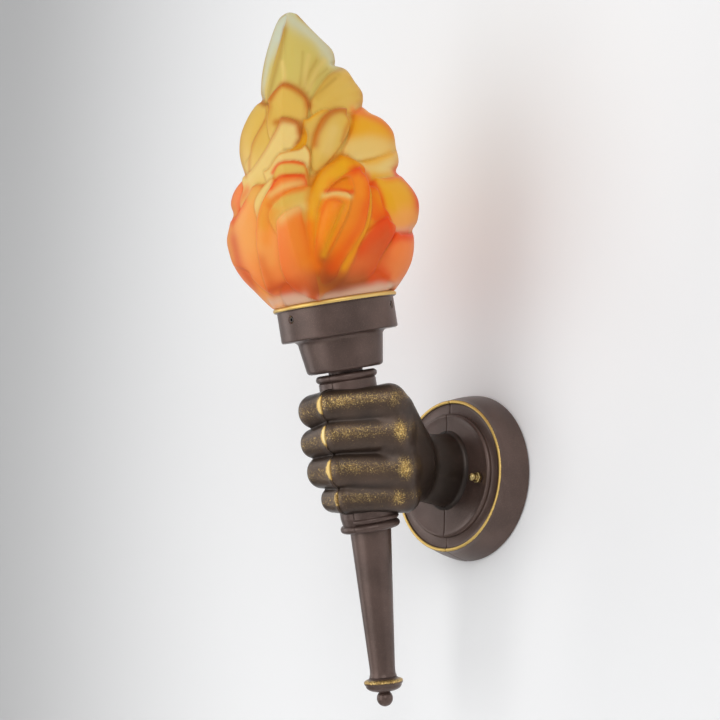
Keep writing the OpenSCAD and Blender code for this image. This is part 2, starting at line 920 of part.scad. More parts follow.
// Petals, from the back ones to those that lie over them:
// [name, rise, width of the rounded edge, [angle, height] of each point of the outline]
petals = [
    ["sail", 1.6, 3, [
        [-66, 205], [-66, 193], [-93, 155], [-98, 145], [-84, 134], [-81, 122], [-63, 102],
        [-42, 89], [-8, 96], [62, 120], [62, 139], [62, 187], [62, 205]
    ]],
    ["gust", 2.4, 5, [
        [62, 161], [6, 151], [-28, 136], [-34, 128], [-32, 121], [-16, 123], [62, 124], [62, 169]
    ]],
    ["left_high", 3, 4.5, [
        [-97, 140], [-75, 132], [-84, 113], [-91, 92], [-99, 86], [-142, 88], [-142, 114],
        [-142, 136], [-142, 147]
    ]],
    ["left_inner", 2.6, 3, [
        [-85, 136], [-83, 127], [-97, 113], [-100, 105], [-112, 98], [-101, 88], [-86, 85],
        [-69, 93], [-62, 109], [-68, 127], [-80, 137]
    ]],
    ["shield", 2.8, 3.2, [
        [-62, 149], [-85, 141], [-79, 134], [-77, 116], [-67, 102], [-55, 97], [-47, 103],
        [-34, 129], [-40, 141]
    ]],
    ["right_high", 3.4, 4.5, [
        [15, 123], [6, 116], [-8, 102], [-14, 96], [-13, 90], [1, 87], [62, 94], [62, 92], [62, 128]
    ]],
    ["right_fold", 2, 3.5, [
        [-12, 93], [2, 87], [62, 96], [62, 78], [35, 75], [5, 70], [-9, 71], [-15, 81]
    ]],
    ["gusset", 1.8, 2.6, [
        [-43, 119], [-38, 121], [-22, 126], [-13, 123], [-20, 103], [-36, 83], [-46, 84], [-48, 100]
    ]],
    ["oval", 3.2, 3.4, [
        [-42, 91], [-30, 116], [-13, 125], [6, 126], [3, 121], [2, 114], [-11, 101], [-36, 83]
    ]],
    ["left_middle", 2.8, 3.5, [
        [-100, 88], [-103, 82], [-99, 76], [-115, 67], [-142, 65], [-142, 88], [-142, 98]
    ]],
    ["hook", 3.4, 3.2, [
        [-61, 125], [-65, 120], [-74, 110], [-93, 95], [-110, 92], [-103, 84], [-107, 71],
        [-100, 60], [-77, 56], [-59, 64], [-47, 79], [-46, 93], [-49, 102], [-45, 109], [-47, 120]
    ]],
    ["hollow", -1.6, 4, [
        [-43, 115], [-47, 107], [-54, 102], [-59, 102], [-51, 99], [-43, 102], [-40, 110]
    ]],
    ["fold", 2.2, 2.6, [
        [-78, 89], [-73, 92], [-64, 100], [-49, 101], [-43, 103], [-40, 93], [-50, 72], [-68, 69]
    ]],
    ["ledge_high", 2.6, 2.4, [
        [-69, 77], [-67, 89], [-60, 94], [-45, 90], [-45, 73], [-51, 63], [-66, 65]
    ]],
    ["left_low", 2, 4, [
        [-142, 51], [-142, 48], [-96, 33], [-87, 19], [-93, -5], [-142, -5]
    ]],
    ["left_broad", 3.2, 3.6, [
        [-69, 82], [-76, 82], [-87, 83], [-94, 76], [-109, 67], [-142, 62], [-142, 38], [-106, 28],
        [-103, 20], [-96, 10], [-85, 8], [-77, 29], [-76, 51], [-67, 70]
    ]],
    ["sliver", 2.2, 2.4, [
        [-66, 84], [-71, 84], [-79, 77], [-83, 68], [-80, 53], [-72, 58], [-63, 75]
    ]],
    ["right_middle", 3.4, 4.5, [
        [4, 75], [17, 75], [62, 80], [62, 86], [62, 38], [62, 39], [33, 36], [13, 37], [5, 42],
        [2, 59], [-4, 65]
    ]],
    ["right_low", 3, 4.5, [
        [13, 38], [19, 36], [33, 36], [62, 39], [62, 37], [62, -2], [34, 2], [12, 6], [-7, 14],
        [-6, 21], [7, 33]
    ]],
    ["inner_right", 3, 3.4, [
        [-8, 76], [-3, 71], [2, 67], [4, 55], [7, 50], [11, 39], [7, 32], [-2, 22], [-5, 13],
        [-12, 9], [-26, 12], [-25, 35], [-16, 53]
    ]],
    ["leaf_right", 2.4, 3, [
        [-20, 30], [-13, 40], [3, 48], [5, 45], [11, 39], [-2, 22], [-10, 9], [-29, 8], [-33, 16],
        [-28, 24]
    ]],
    ["left_front", 4, 3.4, [
        [-45, 79], [-54, 84], [-67, 80], [-84, 51], [-92, 15], [-95, 10], [-81, 12], [-74, 14],
        [-60, 8], [-54, 5], [-50, 19], [-47, 55]
    ]],
    ["ledge_low", 2.2, 2.4, [
        [-71, 62], [-58, 73], [-46, 75], [-41, 71], [-44, 55], [-48, 35], [-57, 30], [-64, 39],
        [-71, 51]
    ]],
    ["arch", 4, 3.2, [
        [-48, 55], [-39, 81], [-21, 91], [-15, 93], [-2, 84], [-4, 75], [-5, 62], [-10, 45],
        [-20, 28], [-30, 10], [-46, 3], [-54, 3]
    ]],
    ["leaf", 3.4, 3, [
        [-35, 69], [-21, 79], [-8, 83], [-8, 80], [-5, 71], [-15, 41], [-31, 20], [-36, 12],
        [-46, 9], [-47, 19], [-41, 54]
    ]],
    ["window", -3.2, 3, [
        [-35, 68], [-30, 73], [-22, 77], [-18, 75], [-20, 63], [-32, 65]
    ]],
    ["lip", 3.4, 2.2, [
        [-35, 67], [-26, 68], [-21, 64], [-25, 51], [-38, 29], [-45, 24], [-46, 35], [-41, 57]
    ]],
    ["finger", 2.4, 2.8, [
        [-50, 19], [-47, 32], [-38, 60], [-32, 63], [-27, 59], [-29, 54], [-39, 33], [-47, 15]
    ]],
    ["spear", 4.2, 3, [
        [-63, 58], [-67, 50], [-73, 15], [-57, 0], [-50, 5], [-50, 52], [-50, 60], [-53, 62]
    ]]
];

function body_slope(i) =
    let (n = len(flame_body))
        i == 0 ? flame_slope[0] :
        i == n - 1 ? flame_slope[1] :
        (flame_body[i + 1][1] - flame_body[i - 1][1]) / (flame_body[i + 1][0] - flame_body[i - 1][0]);

function body_index(h, i = 0) =
    i >= len(flame_body) - 2 || h < flame_body[i + 1][0] ? i : body_index(h, i + 1);

function body_radius(h) =
    let (
        i = body_index(h),
        a = flame_body[i],
        b = flame_body[i + 1],
        w = b[0] - a[0],
        t = min(max((h - a[0]) / w, 0), 1)
    )
        (2 * pow(t, 3) - 3 * t * t + 1) * a[1]
            + (pow(t, 3) - 2 * t * t + t) * w * body_slope(i)
            + (3 * t * t - 2 * pow(t, 3)) * b[1]
            + (pow(t, 3) - t * t) * w * body_slope(i + 1);

function ease(x, low, high) =
    let (t = min(max((x - low) / (high - low), 0), 1))
        t * t * (3 - 2 * t);

// A place on the flame laid flat, from its angle, its height and the body's radius there
function laid_flat(a, h, body) = [(a + 40) * PI / 180 * (body + 3), h];

function within(p, line) =
    len([
        for (k = [0:len(line) - 1])
            let (a = line[k], b = line[(k + 1) % len(line)])
                if (
                    (a[1] > p[1]) != (b[1] > p[1])
                    && p[0] < a[0] + (p[1] - a[1]) * (b[0] - a[0]) / (b[1] - a[1])
                ) k
    ]) % 2 == 1;

function line_gap(p, line) =
    min([
        for (k = [0:len(line) - 1])
            let (
                a = line[k],
                d = line[(k + 1) % len(line)] - a,
                t = min(max((p - a) * d / (d * d), 0), 1)
            )
                norm(p - a - t * d)
    ]);

// The mean radius round one point of the grid, which is mirrored at its sides
function softened(field, j, i) =
    [
        for (y = [-2:2])
            let (row = field[min(abs(j + y), flame_rows - 1)])
                [
                    for (x = [-1:1])
                        row[i + x > flame_steps ? flame_steps - x : abs(i + x)]
                ] * [0.2, 0.6, 0.2]
    ] * [0.06, 0.24, 0.4, 0.24, 0.06];

// The radius where a petal covers one point of the grid; v is how far up the petal it lies
function lifted(field, j, i, petal, gap, h, v) =
    let (
        rise = petal[1] * ease(flame_nominal[0] - h, 0, tip_calm),
        edge = rise > 0 ? sqrt(1 - pow(1 - min(gap / petal[2], 1), 2)) : ease(gap, 0, petal[2]),
        swell = 0.35 * min(gap / 12, 1),
        raised = softened(field, j, i) + rise * ((0.35 + 0.65 * ease(v, 0, 0.75)) * edge + swell)
    )
        field[j][i] + (raised - field[j][i]) * ease(gap, 0, 1.1);

function with_petal(field, petal) =
    let (
        line = [for (p = petal[3]) laid_flat(p[0], p[1], body_radius(p[1]))],
        heights = [for (p = line) p[1]],
        low = max(min(heights), 0),
        high = max(heights)
    )
        [
            for (j = [0:flame_rows - 1])
                let (h = j * row_h, body = body_radius(h))
                    h < low || h > high ? field[j] :
                    [
                        for (i = [0:flame_steps])
                            let (p = laid_flat(flame_left + i * step_a, h, body))
                                !within(p, line) ? field[j][i] :
                                lifted(field, j, i, petal, line_gap(p, line), h, (h - low) / (high - low))
                    ]
        ];

function with_petals(field, n = 0) =
    n == len(petals) ? field : with_petals(with_petal(field, petals[n]), n + 1);

// The field with its two sides brought to the outline
function trued(field) =
    [
        for (j = [0:flame_rows - 1])
            let (
                left = lookup(j * row_h, outline_left) - softened(field, j, 0),
                right = lookup(j * row_h, outline_right) - softened(field, j, flame_steps)
            )
                [
                    for (i = [0:flame_steps])
                        let (
                            from_left = i * step_a,
                            from_right = (flame_steps - i) * step_a,
                            calm = exp(-pow(min(from_left, from_right) / 8, 2))
                        )
                            field[j][i] + (softened(field, j, i) - field[j][i]) * calm
                                + left * exp(-pow(from_left / outline_reach, 2))
                                + right * exp(-pow(from_right / outline_reach, 2))
                ]
    ];

module glass_shade() {
    sides = 2 * flame_steps;
    inner_rows = 8;
    k_h = flame_h / flame_nominal[0];
    k_r = flame_r / flame_nominal[1];
    inner_tip = 0.9;
    crown = 0.3;
    plain = [
        for (j = [0:flame_rows - 1])
            let (body = body_radius(j * row_h))
                [for (i = [0:flame_steps]) body]
    ];
    shape = trued(with_petals(plain));
    turns = [for (i = [0:sides - 1]) let (a = flame_left + i * step_a) [cos(a), sin(a)]];
    outer = [
        for (j = [0:flame_rows - 1], i = [0:sides - 1])
            let (r = k_r * shape[j][i > flame_steps ? sides - i : i])
                [r * turns[i][0], r * turns[i][1], flame_foot + k_h * j * row_h]
    ];
    top_ring = [
        for (i = [0:sides - 1])
            let (r = sqrt(crown) * k_r * shape[flame_rows - 1][i > flame_steps ? sides - i : i])
                [r * turns[i][0], r * turns[i][1], flame_foot + flame_h - crown * k_h * row_h]
    ];
    neck = [
        for (z = [shade_z, flame_foot], i = [0:sides - 1])
            [shade_neck_r * turns[i][0], shade_neck_r * turns[i][1], z]
    ];
    tip = [[0, 0, flame_foot + flame_h]];
    inner = [
        for (j = [0:inner_rows - 1], i = [0:sides - 1])
            let (
                h = flame_nominal[0] * inner_tip * (1 - j / inner_rows),
                r = max(k_r * body_radius(h) - glass_t, 0) * (j == 0 ? 0.3 : 1)
            )
                [r * turns[i][0], r * turns[i][1], flame_foot + k_h * h]
    ];
    neck_inner = [
        for (z = [flame_foot + 2, shade_z], i = [0:sides - 1])
            let (r = shade_neck_r - glass_t)
                [r * turns[i][0], r * turns[i][1], z]
    ];
    color(FLAME)
        torch_frame()
            polyhedron(
                points = concat(neck, outer, top_ring, tip, inner, neck_inner),
                faces = shade_faces(sides, flame_rows + 3, inner_rows + 2)
            );
}

// Faces of a closed skin: outer rings, a tip, and inner rings back to the mouth
function shade_faces(sides, outer_rings, inner_rings) =
    let (
        tip = outer_rings * sides,
        inner = tip + 1,
        last = inner_rings - 1
    )
        concat(
            [
                for (j = [0:outer_rings - 2], i = [0:sides - 1])
                    each quad(j * sides + i, j * sides + (i + 1) % sides, sides)
            ],
            [
                for (i = [0:sides - 1])
                    [(outer_rings - 1) * sides + (i + 1) % sides, (outer_rings - 1) * sides + i, tip]
            ],
            [[for (i = [0:sides - 1]) inner + i]],
            [
                for (j = [0:inner_rings - 2], i = [0:sides - 1])
                    each quad(inner + j * sides + i, inner + j * sides + (i + 1) % sides, sides)
            ],
            [
                for (i = [0:sides - 1])
                    let (
                        a = inner + last * sides + i,
                        b = inner + last * sides + (i + 1) % sides
                    )
                        each [[b, a, i], [b, i, (i + 1) % sides]]
            ]
        );

function quad(a, b, sides) = [[b, a, a + sides], [b, a + sides, b + sides]];

// Lower handle

module lower_handle() {
    flare_h = 5;
    body_foot = handle_foot + flare_h;
    core_top = handle_r1 - handle_wall;
    core_foot = handle_r2 - handle_wall;
    color(BRONZE)
        handle_frame()
            difference() {
                rotate_extrude()
                    polygon([
                        [0, handle_up], [handle_r1, handle_up], [handle_r2, body_foot],
                        [handle_r2 + 0.2, handle_foot + 2], [handle_r2 + 0.9, handle_foot], [0, handle_foot]
                    ]);
                translate([0, 0, handle_foot - 1]) cylinder(r = rod_r + slack, h = handle_len + 2);
                translate([0, 0, handle_foot + 8])
                    cylinder(r1 = core_foot, r2 = core_top, h = handle_len - 14);
            }
}

module tie_rod() {
    color(STEEL)
        handle_frame() translate([0, 0, rod_foot]) cylinder(r = rod_r, h = rod_top - rod_foot);
}

module tie_rod_nut() {
    color(STEEL)
        handle_frame() translate([0, 0, rod_nut_z]) hex_nut(8, 4, rod_r + fit);
}

module handle_finial() {
    rim_h = 3;
    neck = 3.6;
    color(BRONZE)
        handle_frame()
            difference() {
                rotate_extrude()
                    polygon(concat(
                        [[0, finial_z], [handle_r2 + 0.9, finial_z], [finial_r - 0.7, finial_z - 1.6]],
                        [[finial_r, finial_z - 2.2], [finial_r - 0.5, finial_z - 2.2 - rim_h]],
                        bowl(neck, finial_z - 2.2 - rim_h, finial_r - neck - 1.2, finial_h - 2.2 - rim_h, 8),
                        arc(0, ball_z, ball_r, 48, -90, 12)
                    ));
                translate([0, 0, rod_foot - 1]) cylinder(r = rod_r + fit, h = 30);
            }
}

wall_bracket();
bracket_studs();
stud_nuts();
earth_screw();
terminal_block();
terminal_screws();
live_lead();
neutral_lead();
earth_lead();
casting_right();
casting_left();
dowel_pins();
joining_screws();
cap_nut_right();
cap_nut_left();
torch_cup();
shade_screw_front();
shade_screw_right();
shade_screw_left();
cup_washer();
nipple();
nipple_nuts();
holder_cap();
holder_insert();
holder_skirt();
socket_shell();
centre_contact();
shade_gasket();
glass_shade();
bulb_cap();
bulb_contact();
bulb_envelope();
lower_handle();
tie_rod();
tie_rod_nut();
handle_finial();
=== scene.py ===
"""A torch wall light: a fist on a round plate holds a torch with a glass flame.

The frame brings the plain solids, each on its moving body. This script lays the fine
shapes and the finishes over them. Sizes are in millimetres until a mesh is made.
"""

import json
import math

import bmesh
import bpy
import numpy as np
import openvdb
from mathutils import Matrix, Vector

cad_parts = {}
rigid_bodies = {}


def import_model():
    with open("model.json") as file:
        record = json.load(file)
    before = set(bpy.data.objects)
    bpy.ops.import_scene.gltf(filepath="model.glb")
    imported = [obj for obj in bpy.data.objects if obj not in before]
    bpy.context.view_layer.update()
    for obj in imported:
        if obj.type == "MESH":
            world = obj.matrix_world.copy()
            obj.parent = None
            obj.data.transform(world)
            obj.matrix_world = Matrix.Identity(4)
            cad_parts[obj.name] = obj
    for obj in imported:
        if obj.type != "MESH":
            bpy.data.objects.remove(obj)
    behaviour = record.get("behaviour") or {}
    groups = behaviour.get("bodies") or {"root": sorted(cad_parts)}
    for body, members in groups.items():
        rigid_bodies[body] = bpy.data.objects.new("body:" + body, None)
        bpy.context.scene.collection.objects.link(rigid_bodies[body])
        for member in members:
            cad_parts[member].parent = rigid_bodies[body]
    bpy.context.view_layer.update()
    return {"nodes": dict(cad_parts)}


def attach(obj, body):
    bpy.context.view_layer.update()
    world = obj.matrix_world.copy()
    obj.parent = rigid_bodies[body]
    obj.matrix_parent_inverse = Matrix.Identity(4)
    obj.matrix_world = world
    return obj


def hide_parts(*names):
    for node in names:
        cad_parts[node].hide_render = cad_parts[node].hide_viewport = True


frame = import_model()

MM = 0.001
TINY = 1e-6
MERGE = 1e-4            # points nearer than this are one point

# ---------------------------------------------------------------- places

TORCH_SIDE = 6.0
TORCH_OUT = 98.7
TORCH_LEAN = math.radians(14.3)
HANDLE_LEAN = math.radians(8.8)
HANDLE_TOP = -41.4      # along the torch, where the handle leaves the collar
SEAM_GAP = 0.1
SIDES = (("right", 1), ("left", -1))


def leaning_place(lean, origin):
    """The turn and the origin of a local frame whose Z leans out from the wall."""
    c, s = math.cos(lean), math.sin(lean)
    turn = np.array([[1, 0, 0], [0, c, -s], [0, s, c]])
    return turn, np.array(origin, float)


# On the wall's place, local Z points straight out of the wall.
WALL = (np.array([[1, 0, 0], [0, 0, -1], [0, 1, 0]], float), np.zeros(3))
TORCH = leaning_place(TORCH_LEAN, (-TORCH_SIDE, -TORCH_OUT, 0))


def to_part(points, place):
    """Points of a local frame, in the part's own frame."""
    turn, origin = place
    return np.asarray(points, float) @ turn.T + origin


def to_local(points, place):
    """Points of the part's own frame, in a local frame."""
    turn, origin = place
    return (np.asarray(points, float) - origin) @ turn


HANDLE = leaning_place(HANDLE_LEAN, to_part([[0, 0, HANDLE_TOP]], TORCH)[0])

# ---------------------------------------------------------------- meshes


def put(name, data):
    """A new object in the scene, at the origin."""
    thing = bpy.data.objects.new(name, data)
    bpy.context.scene.collection.objects.link(thing)
    return thing


def shade(mesh, sharp):
    """Shades a mesh smooth, except at edges that turn by more than so many degrees."""
    mesh.shade_smooth()
    if sharp:
        mesh.set_sharp_from_angle(angle=math.radians(sharp))


def add_piece(name, points, faces, material, sharp=35, values=None, colours=None):
    """Makes a smooth-shaded object from points in the part's own frame."""
    mesh = bpy.data.meshes.new(name)
    mesh.from_pydata((np.asarray(points) * MM).tolist(), [], faces)
    for key, data in (values or {}).items():
        layer = mesh.attributes.new(key, "FLOAT", "POINT")
        layer.data.foreach_set("value", np.asarray(data, np.float32))
    for key, data in (colours or {}).items():
        flat = np.ones((len(data), 4), np.float32)
        flat[:, :3] = data
        layer = mesh.color_attributes.new(key, "FLOAT_COLOR", "POINT")
        layer.data.foreach_set("color", flat.ravel())
    mesh.validate()
    shade(mesh, sharp)
    mesh.materials.append(material)
    return put(name, mesh)


def arc(cx, cy, r, a0, a1, n):
    """Points of an arc for an outline."""
    angles = np.radians(np.linspace(a0, a1, n + 1))
    return [(cx + r * math.cos(a), cy + r * math.sin(a)) for a in angles]


def fixed(points):
    """Outline points that keep their corners: each has a rounding of 0."""
    return [(r, z, 0) for r, z in points]


def rounded(outline, radius, n=4):
    """The closed outline with its corners rounded, each by its own radius or by the given one."""
    most = 0.45         # share of a side that one corner may take
    pts = [np.array(p[:2], float) for p in outline]
    radii = [p[2] if len(p) > 2 else radius for p in outline]
    result = []
    for i, (p, r) in enumerate(zip(pts, radii)):
        a, b = pts[i - 1] - p, pts[(i + 1) % len(pts)] - p
        la, lb = np.linalg.norm(a), np.linalg.norm(b)
        cut = min(r, most * la, most * lb)
        if cut < MERGE or p[0] < TINY:
            result.append(tuple(p))
            continue
        start, end = p + a / la * cut, p + b / lb * cut
        for k in range(n + 1):
            t = k / n
            q = (1 - t) ** 2 * start + 2 * t * (1 - t) * p + t * t * end
            result.append(tuple(q))
    return result


def ease(value, low, high):
    """A soft step from 0 at low to 1 at high."""
    t = np.clip((value - low) / (high - low), 0, 1)
    return t * t * (3 - 2 * t)


def lathe(outline, place, sides=160):
    """Turns a closed outline of (radius, height) about a place's Z axis."""
    outline = np.array(outline, float)
    n = len(outline)
    angles = np.linspace(0, 2 * math.pi, sides, endpoint=False)
    r = outline[:, 0][None, :]
    x = np.cos(angles)[:, None] * r
    y = np.sin(angles)[:, None] * r
    z = np.repeat(outline[:, 1][None, :], sides, 0)
    local = np.stack([x, y, z], -1).reshape(-1, 3)
    mesh = bmesh.new()
    verts = [mesh.verts.new(p) for p in to_part(local, place)]
    for i in range(sides):
        j = (i + 1) % sides
        for k in range(n):
            m = (k + 1) % n
            if outline[k, 0] < TINY and outline[m, 0] < TINY:
                continue
            corners = (i * n + k, j * n + k, j * n + m, i * n + m)
            mesh.faces.new([verts[v] for v in corners])
    bmesh.ops.remove_doubles(mesh, verts=mesh.verts, dist=MERGE)
    bmesh.ops.recalc_face_normals(mesh, faces=mesh.faces)
    return mesh


SEAM_EDGE = 0.7         # width of the softened edge along the seam


def cut_at_seam(mesh, side, groove=0.3):
    """Keeps the half of a closed bmesh on one side of the seam, with its edge softened."""
    plane = SEAM_GAP / 2
    outward = Vector((side, 0, 0))
    for distance, clear in ((plane + SEAM_EDGE, False), (plane, True)):
        bmesh.ops.bisect_plane(
            mesh,
            geom=list(mesh.verts) + list(mesh.edges) + list(mesh.faces),
            dist=1e-5,
            plane_co=outward * distance,
            plane_no=outward,
            clear_inner=clear,
        )
    rim = [e for e in mesh.edges if e.is_boundary]
    mesh.normal_update()
    for vert in {v for e in rim for v in e.verts}:
        inward = Vector(vert.normal)
        inward.x = 0
        if inward.length > TINY:
            vert.co -= inward.normalized() * groove
    bmesh.ops.triangle_fill(mesh, edges=rim, use_beauty=True, use_dissolve=False)
    bmesh.ops.recalc_face_normals(mesh, faces=mesh.faces)
    return mesh


def piece_from_bmesh(name, mesh, material, sharp=35, gilt=None):
    """Makes an object from a bmesh in millimetres, with a gilt value at each vertex."""
    mesh.verts.index_update()
    points = np.array([v.co for v in mesh.verts])
    faces = [[v.index for v in f.verts] for f in mesh.faces]
    mesh.free()
    values = {"gilt": gilt(points)} if gilt else None
    return add_piece(name, points, faces, material, sharp, values)


# ---------------------------------------------------------------- materials


def feed(tree, socket, value):
    """Links a socket to another one, or sets it to a number or a colour."""
    if isinstance(value, bpy.types.NodeSocket):
        tree.links.new(value, socket)
    elif isinstance(value, tuple):
        socket.default_value = (*value, 1)
    else:
        socket.default_value = value


def add_node(tree, kind, inputs=None, **settings):
    """Adds a node, sets it up, and feeds its inputs by name or number."""
    node = tree.nodes.new(kind)
    for key, value in settings.items():
        setattr(node, key, value)
    for key, value in (inputs or {}).items():
        feed(tree, node.inputs[key], value)
    return node


class Nodes:
    """Short calls for building one material's node tree."""

    SHADER_INPUTS = {
        "colour": "Base Color",
        "metal": "Metallic",
        "rough": "Roughness",
        "normal": "Normal",
        "coat": "Coat Weight",
        "subsurface": "Subsurface Weight",
        "ior": "IOR",
        "specular": "Specular IOR Level",
    }

    def __init__(self, name):
        self.material = bpy.data.materials.new(name)
        self.material.use_nodes = True
        self.tree = self.material.node_tree
        self.shader = self.tree.nodes["Principled BSDF"]
        self.objects = self.add("TexCoord").outputs["Object"]

    def add(self, kind, inputs=None, **settings):
        return add_node(self.tree, "ShaderNode" + kind, inputs, **settings)

    def noise(self, scale, detail=2, roughness=0.5):
        """A noise whose size is 1/scale metres."""
        inputs = {"Vector": self.objects, "Scale": scale, "Detail": detail, "Roughness": roughness}
        return self.add("TexNoise", inputs).outputs["Fac"]

    def step(self, value, low, high, to_low=0.0, to_high=1.0):
        """A soft step between two values."""
        inputs = {"Value": value, "From Min": low, "From Max": high, "To Min": to_low, "To Max": to_high}
        return self.add("MapRange", inputs, interpolation_type="SMOOTHSTEP").outputs["Result"]

    def math(self, operation, a, b=0.0, c=0.0):
        return self.add("Math", {0: a, 1: b, 2: c}, operation=operation).outputs["Value"]

    def mix(self, factor, a, b):
        """Colour a where the factor is 0 and colour b where it is 1."""
        return self.add("Mix", {0: factor, 6: a, 7: b}, data_type="RGBA").outputs[2]

    def attribute(self, name, output="Fac"):
        return self.add("Attribute", attribute_name=name).outputs[output]

    def bump(self, height, strength, distance, before=None):
        inputs = {"Height": height, "Strength": strength, "Distance": distance}
        if before:
            inputs["Normal"] = before
        return self.add("Bump", inputs).outputs["Normal"]

    def plug(self, **values):
        """Feeds the shader's inputs, and returns the material."""
        for key, value in values.items():
            feed(self.tree, self.shader.inputs[self.SHADER_INPUTS[key]], value)
        return self.material


GOLD = (0.88, 0.62, 0.22)
GOLD_DEEP = (0.42, 0.25, 0.07)
LEAF_GOLD = (0.78, 0.53, 0.16)
# pale gold: a painted highlight on the fullest gilt
HIGHLIGHT_GOLD = (0.96, 0.84, 0.46)
WARM_BROWN = (0.150, 0.086, 0.036)


def scaled(colour, share):
    """A colour made darker or lighter, up to full strength."""
    return tuple(min(1, c * share) for c in colour)


def paint_coat(n, light, dark, gilt):
    """The paint itself: cloudy, with a fine flake, with painted shade in the creases, warmer near the gilt.
    """
    cloud = n.noise(38, 3, 0.55)
    flake = n.noise(2600, 1, 0.5)
    coat = n.mix(n.step(cloud, 0.3, 0.7), dark, light)
    coat = n.mix(n.step(flake, 0.56, 0.78, 0, 0.34), coat, scaled(light, 3.0))
    # painted shade: the coat goes towards a near-black brown where the shade value is high
    coat = n.mix(n.math("MULTIPLY", n.attribute("painted_shade"), 0.72), coat, scaled(dark, 0.22))
    return n.mix(n.step(gilt, 0.05, 0.75, 0, 0.50), coat, WARM_BROWN)


def gilt_cover(n, gilt):
    """Where gold lies: a dust of grains that closes up as the gilt value rises."""
    grains = n.math("MULTIPLY", n.noise(1500, 2, 0.85), 0.86)
    grains = n.math("ADD", grains, n.math("MULTIPLY", n.noise(330, 3, 0.6), 0.14))
    grains = n.math("ADD", grains, n.step(gilt, 0.72, 0.82, 0, 0.4))
    above = n.math("SUBTRACT", grains, n.math("MULTIPLY_ADD", gilt, -0.60, 0.80))
    return n.math("MULTIPLY", n.step(above, 0.0, 0.07), n.step(gilt, 0.02, 0.12))


def gold_colour(n, gilt):
    """Mottled gold in the dust, leaf gold on the lines, and pale gold as a painted highlight where the gilt
    is fullest, as on the rubbed ridges.
    """
    gold = n.mix(n.step(n.noise(700, 2, 0.5), 0.35, 0.65), GOLD_DEEP, GOLD)
    gold = n.mix(n.step(gilt, 0.68, 0.80), gold, LEAF_GOLD)
    return n.mix(n.step(gilt, 0.86, 1.0), gold, HIGHLIGHT_GOLD)


def bronze_paint(name, light, dark, grain, rough):
    """Satin metallic paint, gilt where the gilt value says, and darkened by painted shade where its shade
    value says.
    """
    n = Nodes(name)
    gilt = n.attribute("gilt")
    on = gilt_cover(n, gilt)
    fine = n.bump(n.noise(1500, 2, 0.6), grain, 0.00012)
    return n.plug(
        colour=n.mix(on, paint_coat(n, light, dark, gilt), gold_colour(n, gilt)),
        metal=n.step(on, 0, 1, 0.45, 0.80),
        rough=n.math("ADD", n.step(on, 0, 1, rough, 0.36), n.math("MULTIPLY", n.noise(700, 2), 0.10)),
        normal=n.bump(n.noise(160, 3, 0.5), 0.25, 0.0003, fine),
        specular=0.6,
    )


def metal_finish(name, colour, rough, scale=500, amount=0.12):
    """Bare metal with a fine grain and slight stains."""
    n = Nodes(name)
    grain = n.noise(scale, 3, 0.6)
    return n.plug(
        colour=n.mix(n.step(n.noise(90, 3), 0.35, 0.7), scaled(colour, 0.72), colour),
        metal=1.0,
        rough=n.math("ADD", n.math("MULTIPLY", grain, amount), rough - amount / 2),
        normal=n.bump(grain, 0.12, 0.0001),
    )


def plain_finish(name, colour, rough, scale=900, coat=0.0):
    """Plastic, rubber, porcelain or glass that isn't seen through."""
    n = Nodes(name)
    grain = n.noise(scale, 3, 0.6)
    return n.plug(
        colour=n.mix(n.step(n.noise(60, 2), 0.3, 0.7), scaled(colour, 0.85), colour),
        rough=n.math("ADD", n.math("MULTIPLY", grain, 0.15), rough - 0.07),
        normal=n.bump(grain, 0.1, 0.0001),
        coat=coat,
    )


def flame_glass():
    """Frosted pressed glass, sprayed in flame colours."""
    n = Nodes("flame_glass")
    haze = n.noise(42, 3, 0.5)
    frost = n.noise(1400, 2, 0.6)
    frosted = n.bump(frost, 0.05, 0.0001)
    n.shader.inputs["Subsurface Radius"].default_value = (1.0, 0.55, 0.25)
    n.shader.inputs["Subsurface Scale"].default_value = 0.003
    return n.plug(
        colour=n.mix(n.step(haze, 0.35, 0.70, 0.0, 0.05), n.attribute("tint", "Color"), (0.86, 0.56, 0.18)),
        rough=n.math("ADD", n.math("MULTIPLY", frost, 0.08), 0.36),
        normal=n.bump(n.noise(120, 3, 0.5), 0.10, 0.0006, frosted),
        subsurface=0.18,
        ior=1.45,
        specular=0.15,
    )


BRONZE = bronze_paint("bronze_paint", (0.118, 0.074, 0.060), (0.082, 0.051, 0.041), 0.25, 0.31)
HAND_BRONZE = bronze_paint("hand_bronze", (0.082, 0.051, 0.036), (0.047, 0.030, 0.022), 0.60, 0.32)
ZINC = metal_finish("zinc_steel", (0.58, 0.59, 0.60), 0.36)
DARK_STEEL = metal_finish("dark_steel", (0.16, 0.14, 0.13), 0.34)
BRASS = metal_finish("brass", (0.80, 0.58, 0.26), 0.28)
AGED_BRASS = metal_finish("aged_brass", (0.56, 0.42, 0.18), 0.30, 700, 0.2)
NICKEL = metal_finish("nickel_cap", (0.74, 0.74, 0.75), 0.30)
WHITE_PLASTIC = plain_finish("white_plastic", (0.80, 0.79, 0.75), 0.45)
BLACK_PLASTIC = plain_finish("black_plastic", (0.022, 0.022, 0.022), 0.40)
BLACK_RUBBER = plain_finish("black_rubber", (0.02, 0.02, 0.02), 0.75)
PORCELAIN = plain_finish("porcelain", (0.86, 0.84, 0.80), 0.25, 300, 0.5)
BROWN_WIRE = plain_finish("brown_insulation", (0.16, 0.06, 0.025), 0.45)
BLUE_WIRE = plain_finish("blue_insulation", (0.02, 0.09, 0.42), 0.45)
GREEN_WIRE = plain_finish("green_insulation", (0.12, 0.36, 0.04), 0.45)
BLACK_GLASS = plain_finish("black_glass", (0.01, 0.01, 0.012), 0.12, 300, 0.5)
BULB_GLASS = plain_finish("bulb_glass", (0.85, 0.85, 0.82), 0.35, 500)
FLAME_GLASS = flame_glass()

